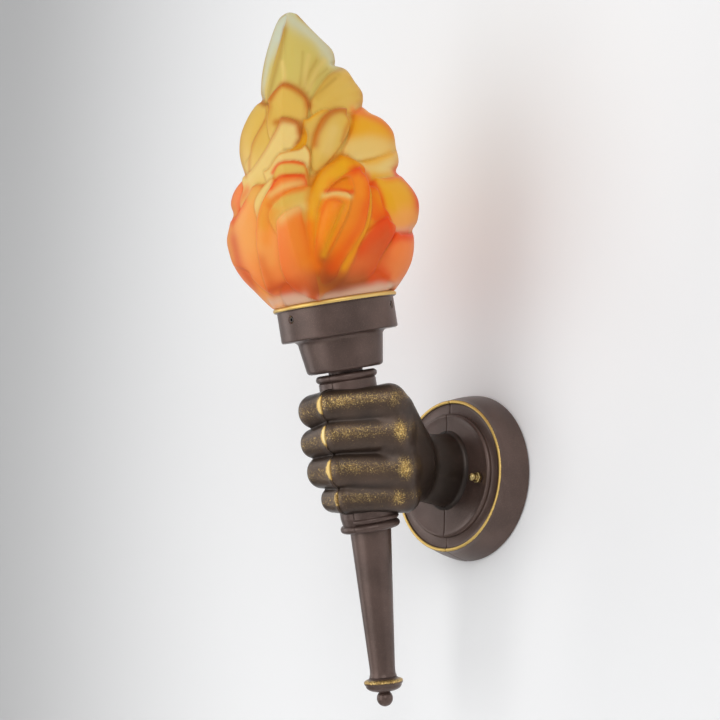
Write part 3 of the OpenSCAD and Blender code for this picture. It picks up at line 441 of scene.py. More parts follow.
# The solids that are kept as they are, by finish
KEPT_SOLIDS = (
    (ZINC, "wall_bracket bracket_studs stud_nuts dowel_pins joining_screws tie_rod tie_rod_nut"),
    (BRASS, "earth_screw terminal_screws nipple nipple_nuts socket_shell centre_contact"),
    (WHITE_PLASTIC, "terminal_block"),
    (BROWN_WIRE, "live_lead"),
    (BLUE_WIRE, "neutral_lead"),
    (GREEN_WIRE, "earth_lead"),
    (BRONZE, "cup_washer"),
    (BLACK_PLASTIC, "holder_cap holder_skirt"),
    (PORCELAIN, "holder_insert"),
    (BLACK_RUBBER, "shade_gasket"),
    (NICKEL, "bulb_cap"),
    (BLACK_GLASS, "bulb_contact"),
    (BULB_GLASS, "bulb_envelope"),
)


def finish_solid(node, finish):
    """Gives a CAD node its finish, in the material slots that it has."""
    if not node.material_slots:
        node.data.materials.append(finish)
    for material_slot in node.material_slots:
        material_slot.material = finish


for finish, names in KEPT_SOLIDS:
    for node_name in names.split():
        finish_solid(frame["nodes"][node_name], finish)


def dress(piece, body, slot_name, *nodes):
    """Lets a piece ride on its body and stand for its CAD nodes."""
    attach(piece, body)
    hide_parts(*nodes)
    return piece


# ---------------------------------------------------------------- wall plate

PLATE_R = 60.0
PLATE_WALL = 3.0
SIDE_FOOT = 2.0
FACE_R = 53.2
FACE_H = 21.6
FACE_BEAD = 1.45
DISC_R = 44.5
DISC_H = 24.8
DISC_LIP = 2.2
WRIST_HOLE = 13.5


def plate_side(steps=7):
    """The plate's slightly bulging side, from the wall up to the bead."""
    points = [(PLATE_R - 0.5, 0.0), (PLATE_R, 0.5), (PLATE_R - 0.2, SIDE_FOOT)]
    for k in range(1, steps):
        t = k / steps
        bulge = 0.55 * math.sin(math.pi * t)
        r = PLATE_R - 0.2 - t * (PLATE_R - FACE_R - 1.6) + bulge
        points.append((r, SIDE_FOOT + t * (FACE_H - 3.4)))
    return points


def plate_outline():
    """Section of the hollow plate: (radius, height above the wall)."""
    bead = arc(FACE_R, FACE_H - 0.1, FACE_BEAD, -25, 170, 12)
    face = [
        (FACE_R - 1.9, FACE_H - 0.15),
        (FACE_R - 4, FACE_H + 0.05),
        (DISC_R + 0.5, FACE_H),
        (DISC_R + 0.05, FACE_H + 0.3),
    ]
    edge = arc(DISC_R - DISC_LIP, DISC_H - DISC_LIP, DISC_LIP, 8, 112, 8)
    dish = [
        (DISC_R - DISC_LIP - 1.6, DISC_H - 0.35),
        (DISC_R - 7, DISC_H - 0.5),
        (DISC_R - 14, DISC_H - 0.45),
        (WRIST_HOLE, DISC_H - 0.4),
    ]
    inside = [
        (WRIST_HOLE, DISC_H - PLATE_WALL),
        (DISC_R - PLATE_WALL - 5, DISC_H - PLATE_WALL),
        (DISC_R - PLATE_WALL - 3, FACE_H - PLATE_WALL),
        (FACE_R - PLATE_WALL, FACE_H - PLATE_WALL - 1),
        (PLATE_R - PLATE_WALL, 0.0),
    ]
    return plate_side() + bead + face + edge + dish + inside


def plate_gilt(points):
    """The gilt line runs along the crown of the bead at the edge of the face."""
    x, y, z = to_local(points, WALL).T
    near = np.hypot(np.hypot(x, y) - FACE_R, z - FACE_H)
    angle = np.degrees(np.arctan2(y, x))
    # painted highlight: the gilt line is a little fuller towards the lower right
    gilt_swing = 0.5 + 0.5 * np.cos(np.radians(angle + 35))
    crown = np.clip((z - FACE_H - 0.45) / 0.5, 0, 1)
    return crown * np.clip(3.0 - near / 0.8, 0, 1) * (0.82 + 0.03 * gilt_swing)


for side_name, side in SIDES:
    plate = cut_at_seam(lathe(plate_outline(), WALL, 192), side)
    piece = piece_from_bmesh(f"plate_{side_name}", plate, BRONZE, 40, plate_gilt)
    dress(piece, "sconce", "bronze_paint", f"casting_{side_name}")

# ---------------------------------------------------------------- fist

# For each finger, index first: radius and height at its knuckle, middle joint, end joint and tip
FINGER_R = (
    (10.9, 11.2, 11.9, 11.4),
    (12.0, 12.0, 10.4, 10.0),
    (12.0, 12.2, 11.3, 10.8),
    (9.4, 9.8, 9.2, 8.7),
)
FINGER_Z = (
    (42.4, 45.0, 42.8, 41.2),
    (20.0, 23.8, 20.8, 20.4),
    (-6.0, 0.5, 0.5, 1.5),
    (-25.2, -19.5, -19.0, -18.0),
)
# Places of the joints across the torch: the fingers share the first two
KNUCKLE = (24.4, 14.0)
MIDDLE = (4.5, -20.5)
FINGER_END = ((-13.6, -21.0), (-17.8, -22.0), (-15.0, -21.5), (-9.5, -20.0))
FINGER_TIP = ((-23.4, -3.0), (-26.2, -3.0), (-24.2, -3.0), (-20.5, -3.0))
JOINTS = (0, 1, 2, 3)
HEEL = (-19.0, 16.0)
THUMB = ((-4, 40, 4, 14.5), (-24, 20, 16, 11.5), (-33, 1, 32, 9.5), (-30, -12, 42, 8.0))
HAND_ROOT = -58.0
WRIST_X, WRIST_Z, WRIST_UP = 21.3, 26.4, 3.5
WRIST_BACK, WRIST_FRONT = -24.0, -42.0     # where its taper starts and is full
WRIST_ENDS = (-66.0, -22.0)
WRIST_TAPER = 0.07
WRIST_FLARE = 3.0
CORE_R = 19.5
CORE_FOOT, CORE_TOP = -29, 48
BORE_R = 12.5
WELL_FOOT = -30         # the bore along the torch starts here
PASSAGE_END = -96.0     # the leads' passage from the wall ends here
HAND_BOX = ((-50, 42), (-148, -20), (-44, 62))
VOXEL = 0.62
COARSE = 2.0            # spacing of the grid for the back of the hand
PROUD = 0.6             # how far the left half stands out along the seam
SEAM_ROUND = 0.6


def smooth_min(a, b, k):
    """The smaller of two distances, with the corner between them filled over a width k."""
    h = np.clip(k - np.abs(a - b), 0, None) / k
    return np.minimum(a, b) - h * h * k / 4


def smooth_max(a, b, k):
    return -smooth_min(-a, -b, k)


def path_distance(x, y, path):
    """Distance in a plane to a bent line, and how far along it (0 at its start, 1 per leg)."""
    best = np.full(x.shape, 1e9, np.float32)
    where = np.zeros(x.shape, np.float32)
    for leg, ((ax, ay), (bx, by)) in enumerate(zip(path, path[1:])):
        dx, dy = bx - ax, by - ay
        t = np.clip(((x - ax) * dx + (y - ay) * dy) / (dx * dx + dy * dy), 0, 1)
        d = np.hypot(x - ax - t * dx, y - ay - t * dy)
        nearer = d < best
        best = np.where(nearer, d, best)
        where = np.where(nearer, leg + t, where)
    return best, where


def along_finger(x, y, i):
    """How far off a finger's bent line and how far along it, with its height and radius there."""
    flat, where = path_distance(x, y, (KNUCKLE, MIDDLE, FINGER_END[i], FINGER_TIP[i]))
    return flat, where, np.interp(where, JOINTS, FINGER_Z[i]), np.interp(where, JOINTS, FINGER_R[i])


def finger_field(x, y, z, i):
    """Signed distance to one finger, with squarish cross-sections."""
    flat, where, middle, r = along_finger(x, y, i)
    p = np.interp(where, (0, 0.4, 1, 1.5, 2), (2.1, 2.5, 2.7, 2.4, 2.1)).astype(np.float32)
    return (flat**p + np.abs(z - middle) ** p) ** (1 / p) - r


def limb(p, a, b):
    """Signed distance to a round limb between two balls (x, y, z, r)."""
    a, b = np.array(a, float), np.array(b, float)
    d = b[:3] - a[:3]
    q = [p[k] - a[k] for k in range(3)]
    t = np.clip(sum(q[k] * d[k] for k in range(3)) / (d @ d), 0, 1)
    away = np.sqrt(sum((q[k] - t * d[k]) ** 2 for k in range(3)))
    return away - (a[3] + t * (b[3] - a[3]))


def wrist_field(x, y, z):
    """Signed distance, near enough, to the oval wrist with its flare at the plate."""
    t = np.clip((y - WRIST_BACK) / (WRIST_FRONT - WRIST_BACK), 0, 1.6)
    foot = np.clip(WRIST_FLARE - (-y - DISC_H + 0.4), 0, WRIST_FLARE)
    flare = WRIST_FLARE - np.sqrt(np.clip(WRIST_FLARE**2 - foot**2, 0, None))
    a = WRIST_X * (1 - WRIST_TAPER * t) + flare
    b = WRIST_Z * (1 - WRIST_TAPER * t) + flare
    q = np.sqrt((x / a) ** 2 + ((z - WRIST_UP) / b) ** 2)
    oval = (q - 1) * np.minimum(a, b)
    return np.maximum(oval, np.maximum(y - WRIST_ENDS[1], WRIST_ENDS[0] - y))


def back_balls():
    """Balls (x, y, z, r) on the torch's place that the back of the hand is stretched over."""
    balls = []
    for radii, heights in zip(FINGER_R, FINGER_Z):
        balls.append((KNUCKLE[0] - 0.8, KNUCKLE[1] + 0.5, heights[0], radii[0] - 0.5))
        balls.append((*HEEL, heights[0] - 4, radii[0]))
    balls.append((24.5, 24.0, 37.0, 8.5))
    return balls


def back_points():
    """Points over those balls and round the root of the wrist."""
    unit = bmesh.new()
    bmesh.ops.create_icosphere(unit, subdivisions=3, radius=1)
    sphere = np.array([v.co for v in unit.verts])
    unit.free()
    points = []
    for ball in back_balls():
        points.extend(to_part(sphere * ball[3] + ball[:3], TORCH))
    for y in (HAND_ROOT, HAND_ROOT + 2):
        for a in np.linspace(0, 2 * math.pi, 48, endpoint=False):
            x = WRIST_X * 1.02 * math.cos(a)
            z = WRIST_UP + 3.4 + WRIST_Z * 1.03 * math.sin(a)
            points.append((x, y, z))
    return points


def back_field():
    """Signed distance to the hull of the back of the hand, on a coarse grid."""
    hull = bmesh.new()
    for p in back_points():
        hull.verts.new(p)
    result = bmesh.ops.convex_hull(hull, input=hull.verts)
    planes = {}
    for face in result["geom"]:
        if isinstance(face, bmesh.types.BMFace) and face.normal.length > 0.5:
            n = face.normal
            planes[tuple(round(c, 2) for c in n)] = (n.copy(), n.dot(face.verts[0].co))
    centre = Vector(np.mean([v.co for v in hull.verts], axis=0))
    hull.free()
    coarse = [np.arange(low, high + 3, COARSE) for low, high in HAND_BOX]
    x, y, z = np.meshgrid(*coarse, indexing="ij")
    field = np.full(x.shape, -1e9)
    for n, c in planes.values():
        outward = 1 if c - float(n @ centre) > 0 else -1
        field = np.maximum(field, outward * (n.x * x + n.y * y + n.z * z - c))
    return coarse, field


def sample(coarse, field, axes):
    """Trilinear samples of a coarse field on a fine grid given by its axes."""
    for k, (have, want) in enumerate(zip(coarse, axes)):
        at = (want - have[0]) / (have[1] - have[0])
        i = np.clip(at.astype(int), 0, len(have) - 2)
        t = (at - i).astype(np.float32)
        a = np.take(field, i, axis=k)
        b = np.take(field, i + 1, axis=k)
        shape = [1, 1, 1]
        shape[k] = -1
        field = a + (b - a) * t.reshape(shape)
    return field.astype(np.float32)


def hand_field():
    """Signed distance to the wrist and fist on a grid, before the seam is cut."""
    axes = [np.arange(low, high, VOXEL, dtype=np.float32) for low, high in HAND_BOX]
    x, y, z = np.meshgrid(*axes, indexing="ij")
    turn, origin = TORCH
    dy, dz = y - origin[1], z - origin[2]
    tx = x - origin[0]
    ty = turn[1, 1] * dy + turn[2, 1] * dz
    tz = turn[1, 2] * dy + turn[2, 2] * dz
    # The creases between the fingers grow softer towards the knuckles.
    soft = np.interp(tx, (6, 26), (1.3, 6.0)).astype(np.float32)
    fist = finger_field(tx, ty, tz, 0)
    for i in (1, 2, 3):
        fist = smooth_min(fist, finger_field(tx, ty, tz, i), soft)
    core = np.maximum(np.hypot(tx, ty) - CORE_R, np.maximum(tz - CORE_TOP, CORE_FOOT - tz))
    fist = smooth_min(fist, core, 1.5)
    for a, b in zip(THUMB, THUMB[1:]):
        fist = smooth_min(fist, limb((tx, ty, tz), a, b), 2.5)
    back = smooth_min(sample(*back_field(), axes), wrist_field(x, y, z), 9.0)
    solid = smooth_min(fist, back, 5.5)
    passage = np.maximum(np.hypot(x, z - WRIST_UP) - BORE_R, PASSAGE_END - y)
    well = np.maximum(np.hypot(tx, ty) - BORE_R, WELL_FOOT - tz)
    return axes, np.maximum(solid, -np.minimum(passage, well))


def seam_half(axes, field, side):
    """The field of the hand's half on one side of the seam."""
    x, y, z = axes[0][:, None, None], axes[1][None, :, None], axes[2][None, None, :]
    if side < 0:
        # The left half stands a little proud of the seam on the front of the fingers.
        front = ease(-y - 0.26 * z, 100, 112)
        proud = PROUD * np.exp(-(((x + 0.5) / 3.0) ** 2)) * front
        field = field - proud.astype(np.float32)
    step = SEAM_GAP / 2 - side * x
    return smooth_max(field, step.astype(np.float32), SEAM_ROUND)


def mesh_from_field(axes, field):
    """Points and faces of the surface where the field is 0."""
    band = 3
    grid = openvdb.FloatGrid(float(band))
    grid.copyFromArray(np.clip(field, -band, band).astype(np.float32))
    points, quads = grid.convertToQuads(0.0)
    start = np.array([a[0] for a in axes])
    return points * VOXEL + start, quads[:, ::-1]


# For each finger, index first: place and share of the gilt on its knuckle, height and share of
# the gilt along its crest, and share of the gilt on its ridge at the seam
KNUCKLE_GILT = ((34.5, 9.0, 0.50), (36.5, 9.5, 0.66), (35.5, 9.0, 0.66), (29.5, 4.0, 0.56))
CREST_LIFT = (0.26, 0.22, 0.20, 0.16)
CREST_SHARE = (1.0, 0.92, 0.90, 0.84)
RIDGE_SHARE = (0.91, 0.94, 0.90, 0.60)
# Share of the crest's gilt along a finger: (how far along, share)
BRUSHED = ((-0.1, 0.46), (0.15, 0.44), (0.9, 0.54), (1.15, 0.44), (1.5, 0.34), (2.2, 0.24), (2.6, 0.10))


def finger_gilt(x, y, z, part_y, i):
    """Gilt on one finger: brushed on its crest, full on its ridge, patchy on its knuckle."""
    flat, where, middle, r = along_finger(x, y, i)
    across = (z - middle) / r
    crest = np.clip(1.25 - np.abs(across - CREST_LIFT[i]) / 0.78, 0, 1)
    along = np.interp(where, *zip(*BRUSHED))
    brushed = crest * along * CREST_SHARE[i] * (flat < r + 3) * 0.96
    stray = np.clip(1 - np.abs(across) ** 2, 0, 1) * ease(part_y, -50, -80)
    stray = stray * (0.30 + 0.10 * (x < TORCH_SIDE))
    leaf = np.clip(1 - np.abs(across - 0.16) ** 2 / 0.55, 0, 1)
    # where the gilt runs fullest along the ridge, it turns to the pale gold of a painted highlight
    ridge = ease(0.4 + 6.2 * leaf - (TORCH_SIDE - x), 0, 4.6) * (x < TORCH_SIDE + 0.3)
    ridge = ridge * (y < -15) * np.clip(leaf * 1.8, 0, 1) * RIDGE_SHARE[i]
    patch_x, patch_y, share = KNUCKLE_GILT[i]
    patch_z = FINGER_Z[i][0] + 1.5
    flat_away = ((x - patch_x) / 7) ** 2 + ((y - patch_y) / 7.5) ** 2
    away = flat_away + ((z - patch_z) / (FINGER_R[i][0] * 0.78)) ** 2
    patch = np.exp(-0.8 * away) * share
    return np.maximum(np.maximum(brushed, stray), np.maximum(ridge, patch))


def hand_gilt(points):
    """Gilt is brushed along the fingers' crests, over the knuckles and down the ridge."""
    x, y, z = to_local(points, TORCH).T
    best = np.zeros(len(points))
    for i in range(4):
        best = np.maximum(best, finger_gilt(x, y, z, points[:, 1], i))
    return np.clip(best, 0, 1)


def hand_painted_shade(points):
    """Painted shade in the creases between the fingers and towards the wrist."""
    x, y, z = to_local(points, TORCH).T
    nearest = np.full(len(points), 9.0)
    for i in range(4):
        _, _, middle, r = along_finger(x, y, i)
        nearest = np.minimum(nearest, np.abs(z - middle) / r)
    crease_shade = ease(nearest, 0.62, 0.98) * ease(y, 8, -8)
    wrist = ease(points[:, 1], -98, -62)
    return np.clip(0.75 * crease_shade + 0.8 * wrist, 0, 1)


grid_axes, hand = hand_field()
for side_name, side in SIDES:
    points, quads = mesh_from_field(grid_axes, seam_half(grid_axes, hand, side))
    marks = {"gilt": hand_gilt(points), "painted_shade": hand_painted_shade(points)}
    piece = add_piece(f"fist_{side_name}", points, quads.tolist(), HAND_BRONZE, 50, marks)
    dress(piece, "sconce", "bronze_paint", f"casting_{side_name}")
del hand

# ---------------------------------------------------------------- collars

COLLAR_NECK = 19.9
COLLAR_END = COLLAR_NECK - 1.2
UPPER_BEAD, LOWER_BEAD = 21.4, 20.8
COLLAR_TOP, COLLAR_BOTTOM = 66.0, -44.1
COLLAR_WALL = 4.0
BEAD_H = 5.4
NIPPLE_HOLE = 5.4
HANDLE_SOCKET = 15.2


def collar_bead(bead_r, middle):
    """The round bead of a collar, as a part of its outline."""
    return fixed(arc(bead_r - BEAD_H / 2, middle, BEAD_H / 2, -78, 78, 12))


def upper_collar():
    """Section of the collar above the fist."""
    start = [(BORE_R, 40, 0), (COLLAR_NECK, 40, 0), (COLLAR_NECK, COLLAR_TOP - BEAD_H - 0.6, 0.5)]
    inside = [
        (COLLAR_END, COLLAR_TOP, 0.4),
        (NIPPLE_HOLE, COLLAR_TOP, 0),
        (NIPPLE_HOLE, COLLAR_TOP - COLLAR_WALL, 0),
        (BORE_R, COLLAR_TOP - COLLAR_WALL, 0),
    ]
    return rounded(start + collar_bead(UPPER_BEAD, COLLAR_TOP - BEAD_H / 2) + inside, 0.4)


def lower_collar(second_bead):
    """Section of the collar below the fist; the right half has a smaller second bead."""
    middle = COLLAR_BOTTOM + BEAD_H / 2
    outline = [(HANDLE_SOCKET, COLLAR_BOTTOM, 0.3), (COLLAR_END, COLLAR_BOTTOM, 0.4)]
    outline += collar_bead(LOWER_BEAD, middle)
    if second_bead:
        outline += fixed(arc(COLLAR_NECK - 1.1, middle + 5.0, 1.9, -65, 65, 8))
    neck = COLLAR_NECK - 0.4
    outline += [(neck, middle + BEAD_H / 2 + 4.6, 0.4), (neck, -26, 0), (BORE_R, -26, 0)]
    outline += [(BORE_R, -30, 0), (HANDLE_SOCKET, -38, 0)]
    return rounded(outline, 0.4)


def no_gilt(points):
    return np.zeros(len(points))


for side_name, side in SIDES:
    for place_name, outline in (("upper", upper_collar()), ("lower", lower_collar(side == 1))):
        collar = cut_at_seam(lathe(outline, TORCH, 128), side, 0.35)
        piece = piece_from_bmesh(f"{place_name}_collar_{side_name}", collar, BRONZE, 40, no_gilt)
        dress(piece, "sconce", "bronze_paint", f"casting_{side_name}")

# ---------------------------------------------------------------- cup

CUP_Z = 67.6
CUP_FOOT_R = 26.8
CUP_WAIST_R = 29.5
CUP_STEP = 91.9
CUP_R = 40.7
CUP_BORE = 38.3
CUP_WELL = 24.4
RIM_Z = 114.9
RIM_BEAD = 1.8
SCREW_Z = RIM_Z - 7.7
SCREW_ANGLES = (-90, 30, 150)
SCREW_R = 2.0
SCREW_HOLE = SCREW_R + 0.05


def cup_outline():
    """Section of the stepped cup with its rolled rim."""
    foot, waist, corner = 3, 4, 1.4
    rim_top = RIM_Z + RIM_BEAD
    step_floor = CUP_STEP + 2.4
    well_floor = CUP_Z + 3
    return rounded(
        [(NIPPLE_HOLE, CUP_Z, 0)]
        + fixed(arc(CUP_FOOT_R - foot, CUP_Z + foot, foot, -90, 0, 8))
        + fixed(arc(CUP_WAIST_R + waist, CUP_STEP - waist, waist, 180, 90, 8))
        + fixed(arc(CUP_R - corner, CUP_STEP + corner, corner, -90, 0, 6))
        + fixed((CUP_R, z) for z in (CUP_STEP + 4, SCREW_Z - 4, SCREW_Z + 4, RIM_Z - RIM_BEAD))
        + fixed(arc(CUP_R + 0.6, RIM_Z, RIM_BEAD, -80, 90, 14))
        + [(CUP_BORE, rim_top, 0.5), (CUP_BORE, step_floor, 0.3), (CUP_WELL, step_floor, 0.3)]
        + [(CUP_WELL, well_floor, 0.6), (NIPPLE_HOLE, well_floor, 0)],
        0.3,
    )


def cup_gilt(points):
    """The rolled rim is gilt on top and outside, and dark below."""
    x, y, z = to_local(points, TORCH).T
    above = (z - (RIM_Z - 1.5)) / 0.9
    on_bead = np.hypot(x, y) > CUP_R - 1.6
    angle = np.degrees(np.arctan2(y, x))
    gilt_swing = 0.86 + 0.14 * np.cos(np.radians(3 * angle + 20))
    return np.clip(above * 1.6, 0, 1) * on_bead * (0.80 + 0.09 * gilt_swing)


def cut_with(piece, cutters, sharp):
    """Subtracts closed bmeshes from a piece, and leaves a plain mesh."""
    for cutter in cutters:
        mesh = bpy.data.meshes.new("cutter")
        cutter.to_mesh(mesh)
        cutter.free()
        mesh.transform(Matrix.Scale(MM, 4))
        tool = put("cutter", mesh)
        cut = piece.modifiers.new("cut", "BOOLEAN")
        cut.operation = "DIFFERENCE"
        cut.solver = "EXACT"
        cut.object = tool
        evaluated = piece.evaluated_get(bpy.context.evaluated_depsgraph_get())
        result = bpy.data.meshes.new_from_object(evaluated)
        piece.modifiers.remove(cut)
        old = piece.data
        piece.data = result
        bpy.data.meshes.remove(old)
        bpy.data.objects.remove(tool)
        bpy.data.meshes.remove(mesh)
    shade(piece.data, sharp)
    return piece


def radial_place(angle, r, z):
    """A place on the torch whose local Z points out from the axis."""
    a = math.radians(angle)
    out = np.array([math.cos(a), math.sin(a), 0])
    across = np.array([-math.sin(a), math.cos(a), 0])
    turn, _ = TORCH
    local = np.stack([across, [0, 0, 1], out], 1)
    return turn @ local, to_part([out * r + [0, 0, z]], TORCH)[0]


def screw_hole(angle):
    """What a set screw's hole takes out of the cup's wall, with a small countersink."""
    outline = [(0, -4), (SCREW_HOLE, -4), (SCREW_HOLE, 2.0), (3.0, 3.0), (3.3, 6), (0, 6)]
    return lathe(rounded(fixed(outline), 0.2), radial_place(angle, CUP_R - 3, SCREW_Z), 32)


cup = piece_from_bmesh("torch_cup_shell", lathe(cup_outline(), TORCH, 256), BRONZE, 35, cup_gilt)
cut_with(cup, [screw_hole(angle) for angle in SCREW_ANGLES], 35)
dress(cup, "sconce", "bronze_paint", "torch_cup")

# ---------------------------------------------------------------- set screws


def thread_sizes(tree):
    """Gives the tree its named inputs, and returns the sockets that they come from."""
    sizes = {"Radius": 2.0, "Length": 4.0, "Pitch": 0.7, "Depth": 0.25, "Socket": 1.0, "Sink": 2.0}
    for key, value in sizes.items():
        socket = tree.interface.new_socket(key, in_out="INPUT", socket_type="NodeSocketFloat")
        socket.default_value = value * MM
    tree.interface.new_socket("Finish", in_out="INPUT", socket_type="NodeSocketMaterial")
    tree.interface.new_socket("Geometry", in_out="OUTPUT", socket_type="NodeSocketGeometry")
    return tree.nodes.new("NodeGroupInput").outputs


def thread_tree():
    """Node tree of a threaded rod along Z, with a hexagon socket sunk in its end."""
    tree = bpy.data.node_groups.new("threaded_rod", "GeometryNodeTree")
    given = thread_sizes(tree)

    def add(kind, inputs=None, **settings):
        return add_node(tree, kind, inputs, **settings)

    def calc(operation, a, b=0.0, c=0.0):
        return add("ShaderNodeMath", {0: a, 1: b, 2: c}, operation=operation).outputs[0]

    rod = add(
        "GeometryNodeMeshCylinder",
        {"Vertices": 32, "Side Segments": 96, "Radius": given["Radius"], "Depth": given["Length"]},
    )
    x, y, z = add("ShaderNodeSeparateXYZ", {0: add("GeometryNodeInputPosition").outputs[0]}).outputs
    # The groove winds round the rod, one turn for each pitch, and fades out near both ends.
    turns = calc("DIVIDE", calc("ARCTAN2", y, x), 2 * math.pi)
    phase = calc("FRACT", calc("ADD", calc("DIVIDE", z, given["Pitch"]), calc("ADD", turns, 50.0)))
    groove = calc("SUBTRACT", 1.0, calc("ABSOLUTE", calc("MULTIPLY_ADD", phase, 2.0, -1.0)))
    half = calc("MULTIPLY", given["Length"], 0.5)
    to_end = calc("DIVIDE", calc("SUBTRACT", half, calc("ABSOLUTE", z)), given["Pitch"])
    fade = calc("MINIMUM", 1.0, calc("MAXIMUM", 0.0, to_end))
    bevel = calc("SUBTRACT", 1.0, fade)
    cut = calc("MULTIPLY", given["Depth"], calc("MAXIMUM", calc("MULTIPLY", groove, fade), bevel))
    across = calc("SQRT", calc("ADD", calc("MULTIPLY", x, x), calc("MULTIPLY", y, y)))
    share = calc("DIVIDE", calc("SUBTRACT", across, cut), calc("MAXIMUM", across, TINY))
    share = calc("MAXIMUM", share, 0.0)
    on_wall = calc("GREATER_THAN", across, calc("MULTIPLY", given["Radius"], 0.9))
    moved = add("ShaderNodeCombineXYZ", {0: calc("MULTIPLY", x, share), 1: calc("MULTIPLY", y, share), 2: z})
    threaded = add(
        "GeometryNodeSetPosition",
        {"Geometry": rod.outputs["Mesh"], "Selection": on_wall, "Position": moved.outputs[0]},
    )
    hexagon = add(
        "GeometryNodeMeshCylinder",
        {"Vertices": 6, "Radius": given["Socket"], "Depth": calc("MULTIPLY", given["Sink"], 2.0)},
    )
    at_end = add("ShaderNodeCombineXYZ", {2: half}).outputs[0]
    sunk = add("GeometryNodeTransform", {"Geometry": hexagon.outputs["Mesh"], "Translation": at_end})
    drilled = add("GeometryNodeMeshBoolean", {0: threaded.outputs[0]}, operation="DIFFERENCE")
    tree.links.new(sunk.outputs[0], drilled.inputs[1])
    real = add("GeometryNodeRealizeInstances", {0: drilled.outputs[0]})
    dressed = add("GeometryNodeSetMaterial", {"Geometry": real.outputs[0], "Material": given["Finish"]})
    add("NodeGroupOutput", {0: dressed.outputs[0]})
    return tree


THREADS = thread_tree()


def threaded_rod(name, place, finish, sizes):
    """A threaded rod from a place's origin out along its local Z, as a plain mesh."""
    holder = put(name + "_tree", bpy.data.meshes.new(name))
    modifier = holder.modifiers.new("thread", "NODES")
    modifier.node_group = THREADS
    for item in THREADS.interface.items_tree:
        if item.name in sizes:
            modifier[item.identifier] = sizes[item.name] * MM
        elif item.name == "Finish":
            modifier[item.identifier] = finish
    evaluated = holder.evaluated_get(bpy.context.evaluated_depsgraph_get())
    mesh = bpy.data.meshes.new_from_object(evaluated)
    holder.modifiers.remove(modifier)
    bpy.data.objects.remove(holder)
    turn, origin = place
    move = Matrix(turn.tolist()).to_4x4()
    move.translation = Vector(origin + turn @ np.array([0, 0, sizes["Length"] / 2])) * MM
    mesh.transform(move)
    shade(mesh, 40)
    return put(name, mesh)


SCREW_FOOT = 36.0
SCREW_PITCH = 0.7
SCREW = {
    "Radius": SCREW_R,
    "Length": 4.1,
    "Pitch": SCREW_PITCH,
    "Depth": 0.55 * SCREW_PITCH,
    "Socket": 1.15,
    "Sink": 1.9,
}
for place_name, angle in zip(("front", "right", "left"), SCREW_ANGLES):
    place = radial_place(angle, SCREW_FOOT, SCREW_Z)
    screw = threaded_rod(f"set_screw_{place_name}", place, DARK_STEEL, SCREW)
    dress(screw, f"{place_name}_screw", "zinc_steel", f"shade_screw_{place_name}")

# ---------------------------------------------------------------- lower handle and finial

HANDLE_FOOT = -104.0
ROD_HOLE = 3
FINIAL_Z = -104.2
FINIAL_R = 13.6
FINIAL_HOLE = 2.6
FINIAL_BALL = 5.6


def handle_outline():
    """Section of the tapered, hollow handle, with a hole for the rod at each end."""
    foot = HANDLE_FOOT
    outside = [(ROD_HOLE, 2.5, 0), (14.6, 2.5, 0.4), (14.3, -3, 0), (8.75, foot + 5, 2.0)]
    end = [(8.9, foot + 2.2, 1.0), (9.6, foot, 0.4), (ROD_HOLE, foot, 0), (ROD_HOLE, foot + 8, 0)]
    inside = [(5.7, foot + 8, 0), (11.4, -4, 0), (ROD_HOLE, -3.8, 0)]
    return rounded(outside + end + inside, 0.3)


def finial_outline():
    """Section of the finial: a plate, a flange, a bowl and a ball."""
    top = FINIAL_Z
    plate = [(FINIAL_HOLE, top, 0), (9.6, top, 0.3), (10.4, top - 0.8, 0.5), (12.8, top - 1.7, 0.6)]
    flange = [(FINIAL_R, top - 2.6, 0.7), (FINIAL_R - 0.3, top - 4.2, 0.6), (FINIAL_R - 1.1, top - 5.2, 0.4)]
    bowl = []
    for a in np.radians(np.linspace(12, 84, 10)):
        bowl.append((3.8 + 8.6 * math.cos(a), top - 5.4 - 4.3 * math.sin(a), 0))
    ball = arc(0, top - 9.6 - FINIAL_BALL + 0.8, FINIAL_BALL, 48, -90, 18)
    ball = [(max(r, 0), z, 0) for r, z in ball]
    hole = [(0, top - 8, 0), (FINIAL_HOLE, top - 8, 0)]
    return rounded(plate + flange + bowl + [(3.75, top - 10.2, 0.3)] + ball + hole, 0.3)


def finial_gilt(points):
    """A rubbed gilt band round the flange."""
    x, y, z = to_local(points, HANDLE).T
    depth = FINIAL_Z - z
    band = np.clip(1.3 - np.abs(depth - 2.2) / 1.9, 0, 1)
    return band * (np.hypot(x, y) > 10.2) * 0.66


handle = piece_from_bmesh("handle_shaft", lathe(handle_outline(), HANDLE, 128), BRONZE, 35, no_gilt)
dress(handle, "sconce", "bronze_paint", "lower_handle")
finial = piece_from_bmesh("finial_turned", lathe(finial_outline(), HANDLE, 128), BRONZE, 35, finial_gilt)
dress(finial, "finial", "bronze_paint", "handle_finial")

# ---------------------------------------------------------------- cap nuts

STUD_X, STUD_DROP = 34.8, 3.5
NUT_BASE = 25.0
NUT_FLATS = 7.0
NUT_H = 3.0
DOME_R = 2.8


def nut_ring(x, z, share):
    """Points round a hexagon with clipped corners, at a height on the nut."""
    corner = NUT_FLATS / math.sqrt(3) * 0.985
    ring = []
    for a in range(0, 360, 10):
        flat = NUT_FLATS / 2 / math.cos(math.radians((a % 60) - 30))
        r = min(flat, corner) * share
        across, up = r * math.cos(math.radians(a)), r * math.sin(math.radians(a))
        ring.append((x + across, -(NUT_BASE + z), -STUD_DROP + up))
    return ring


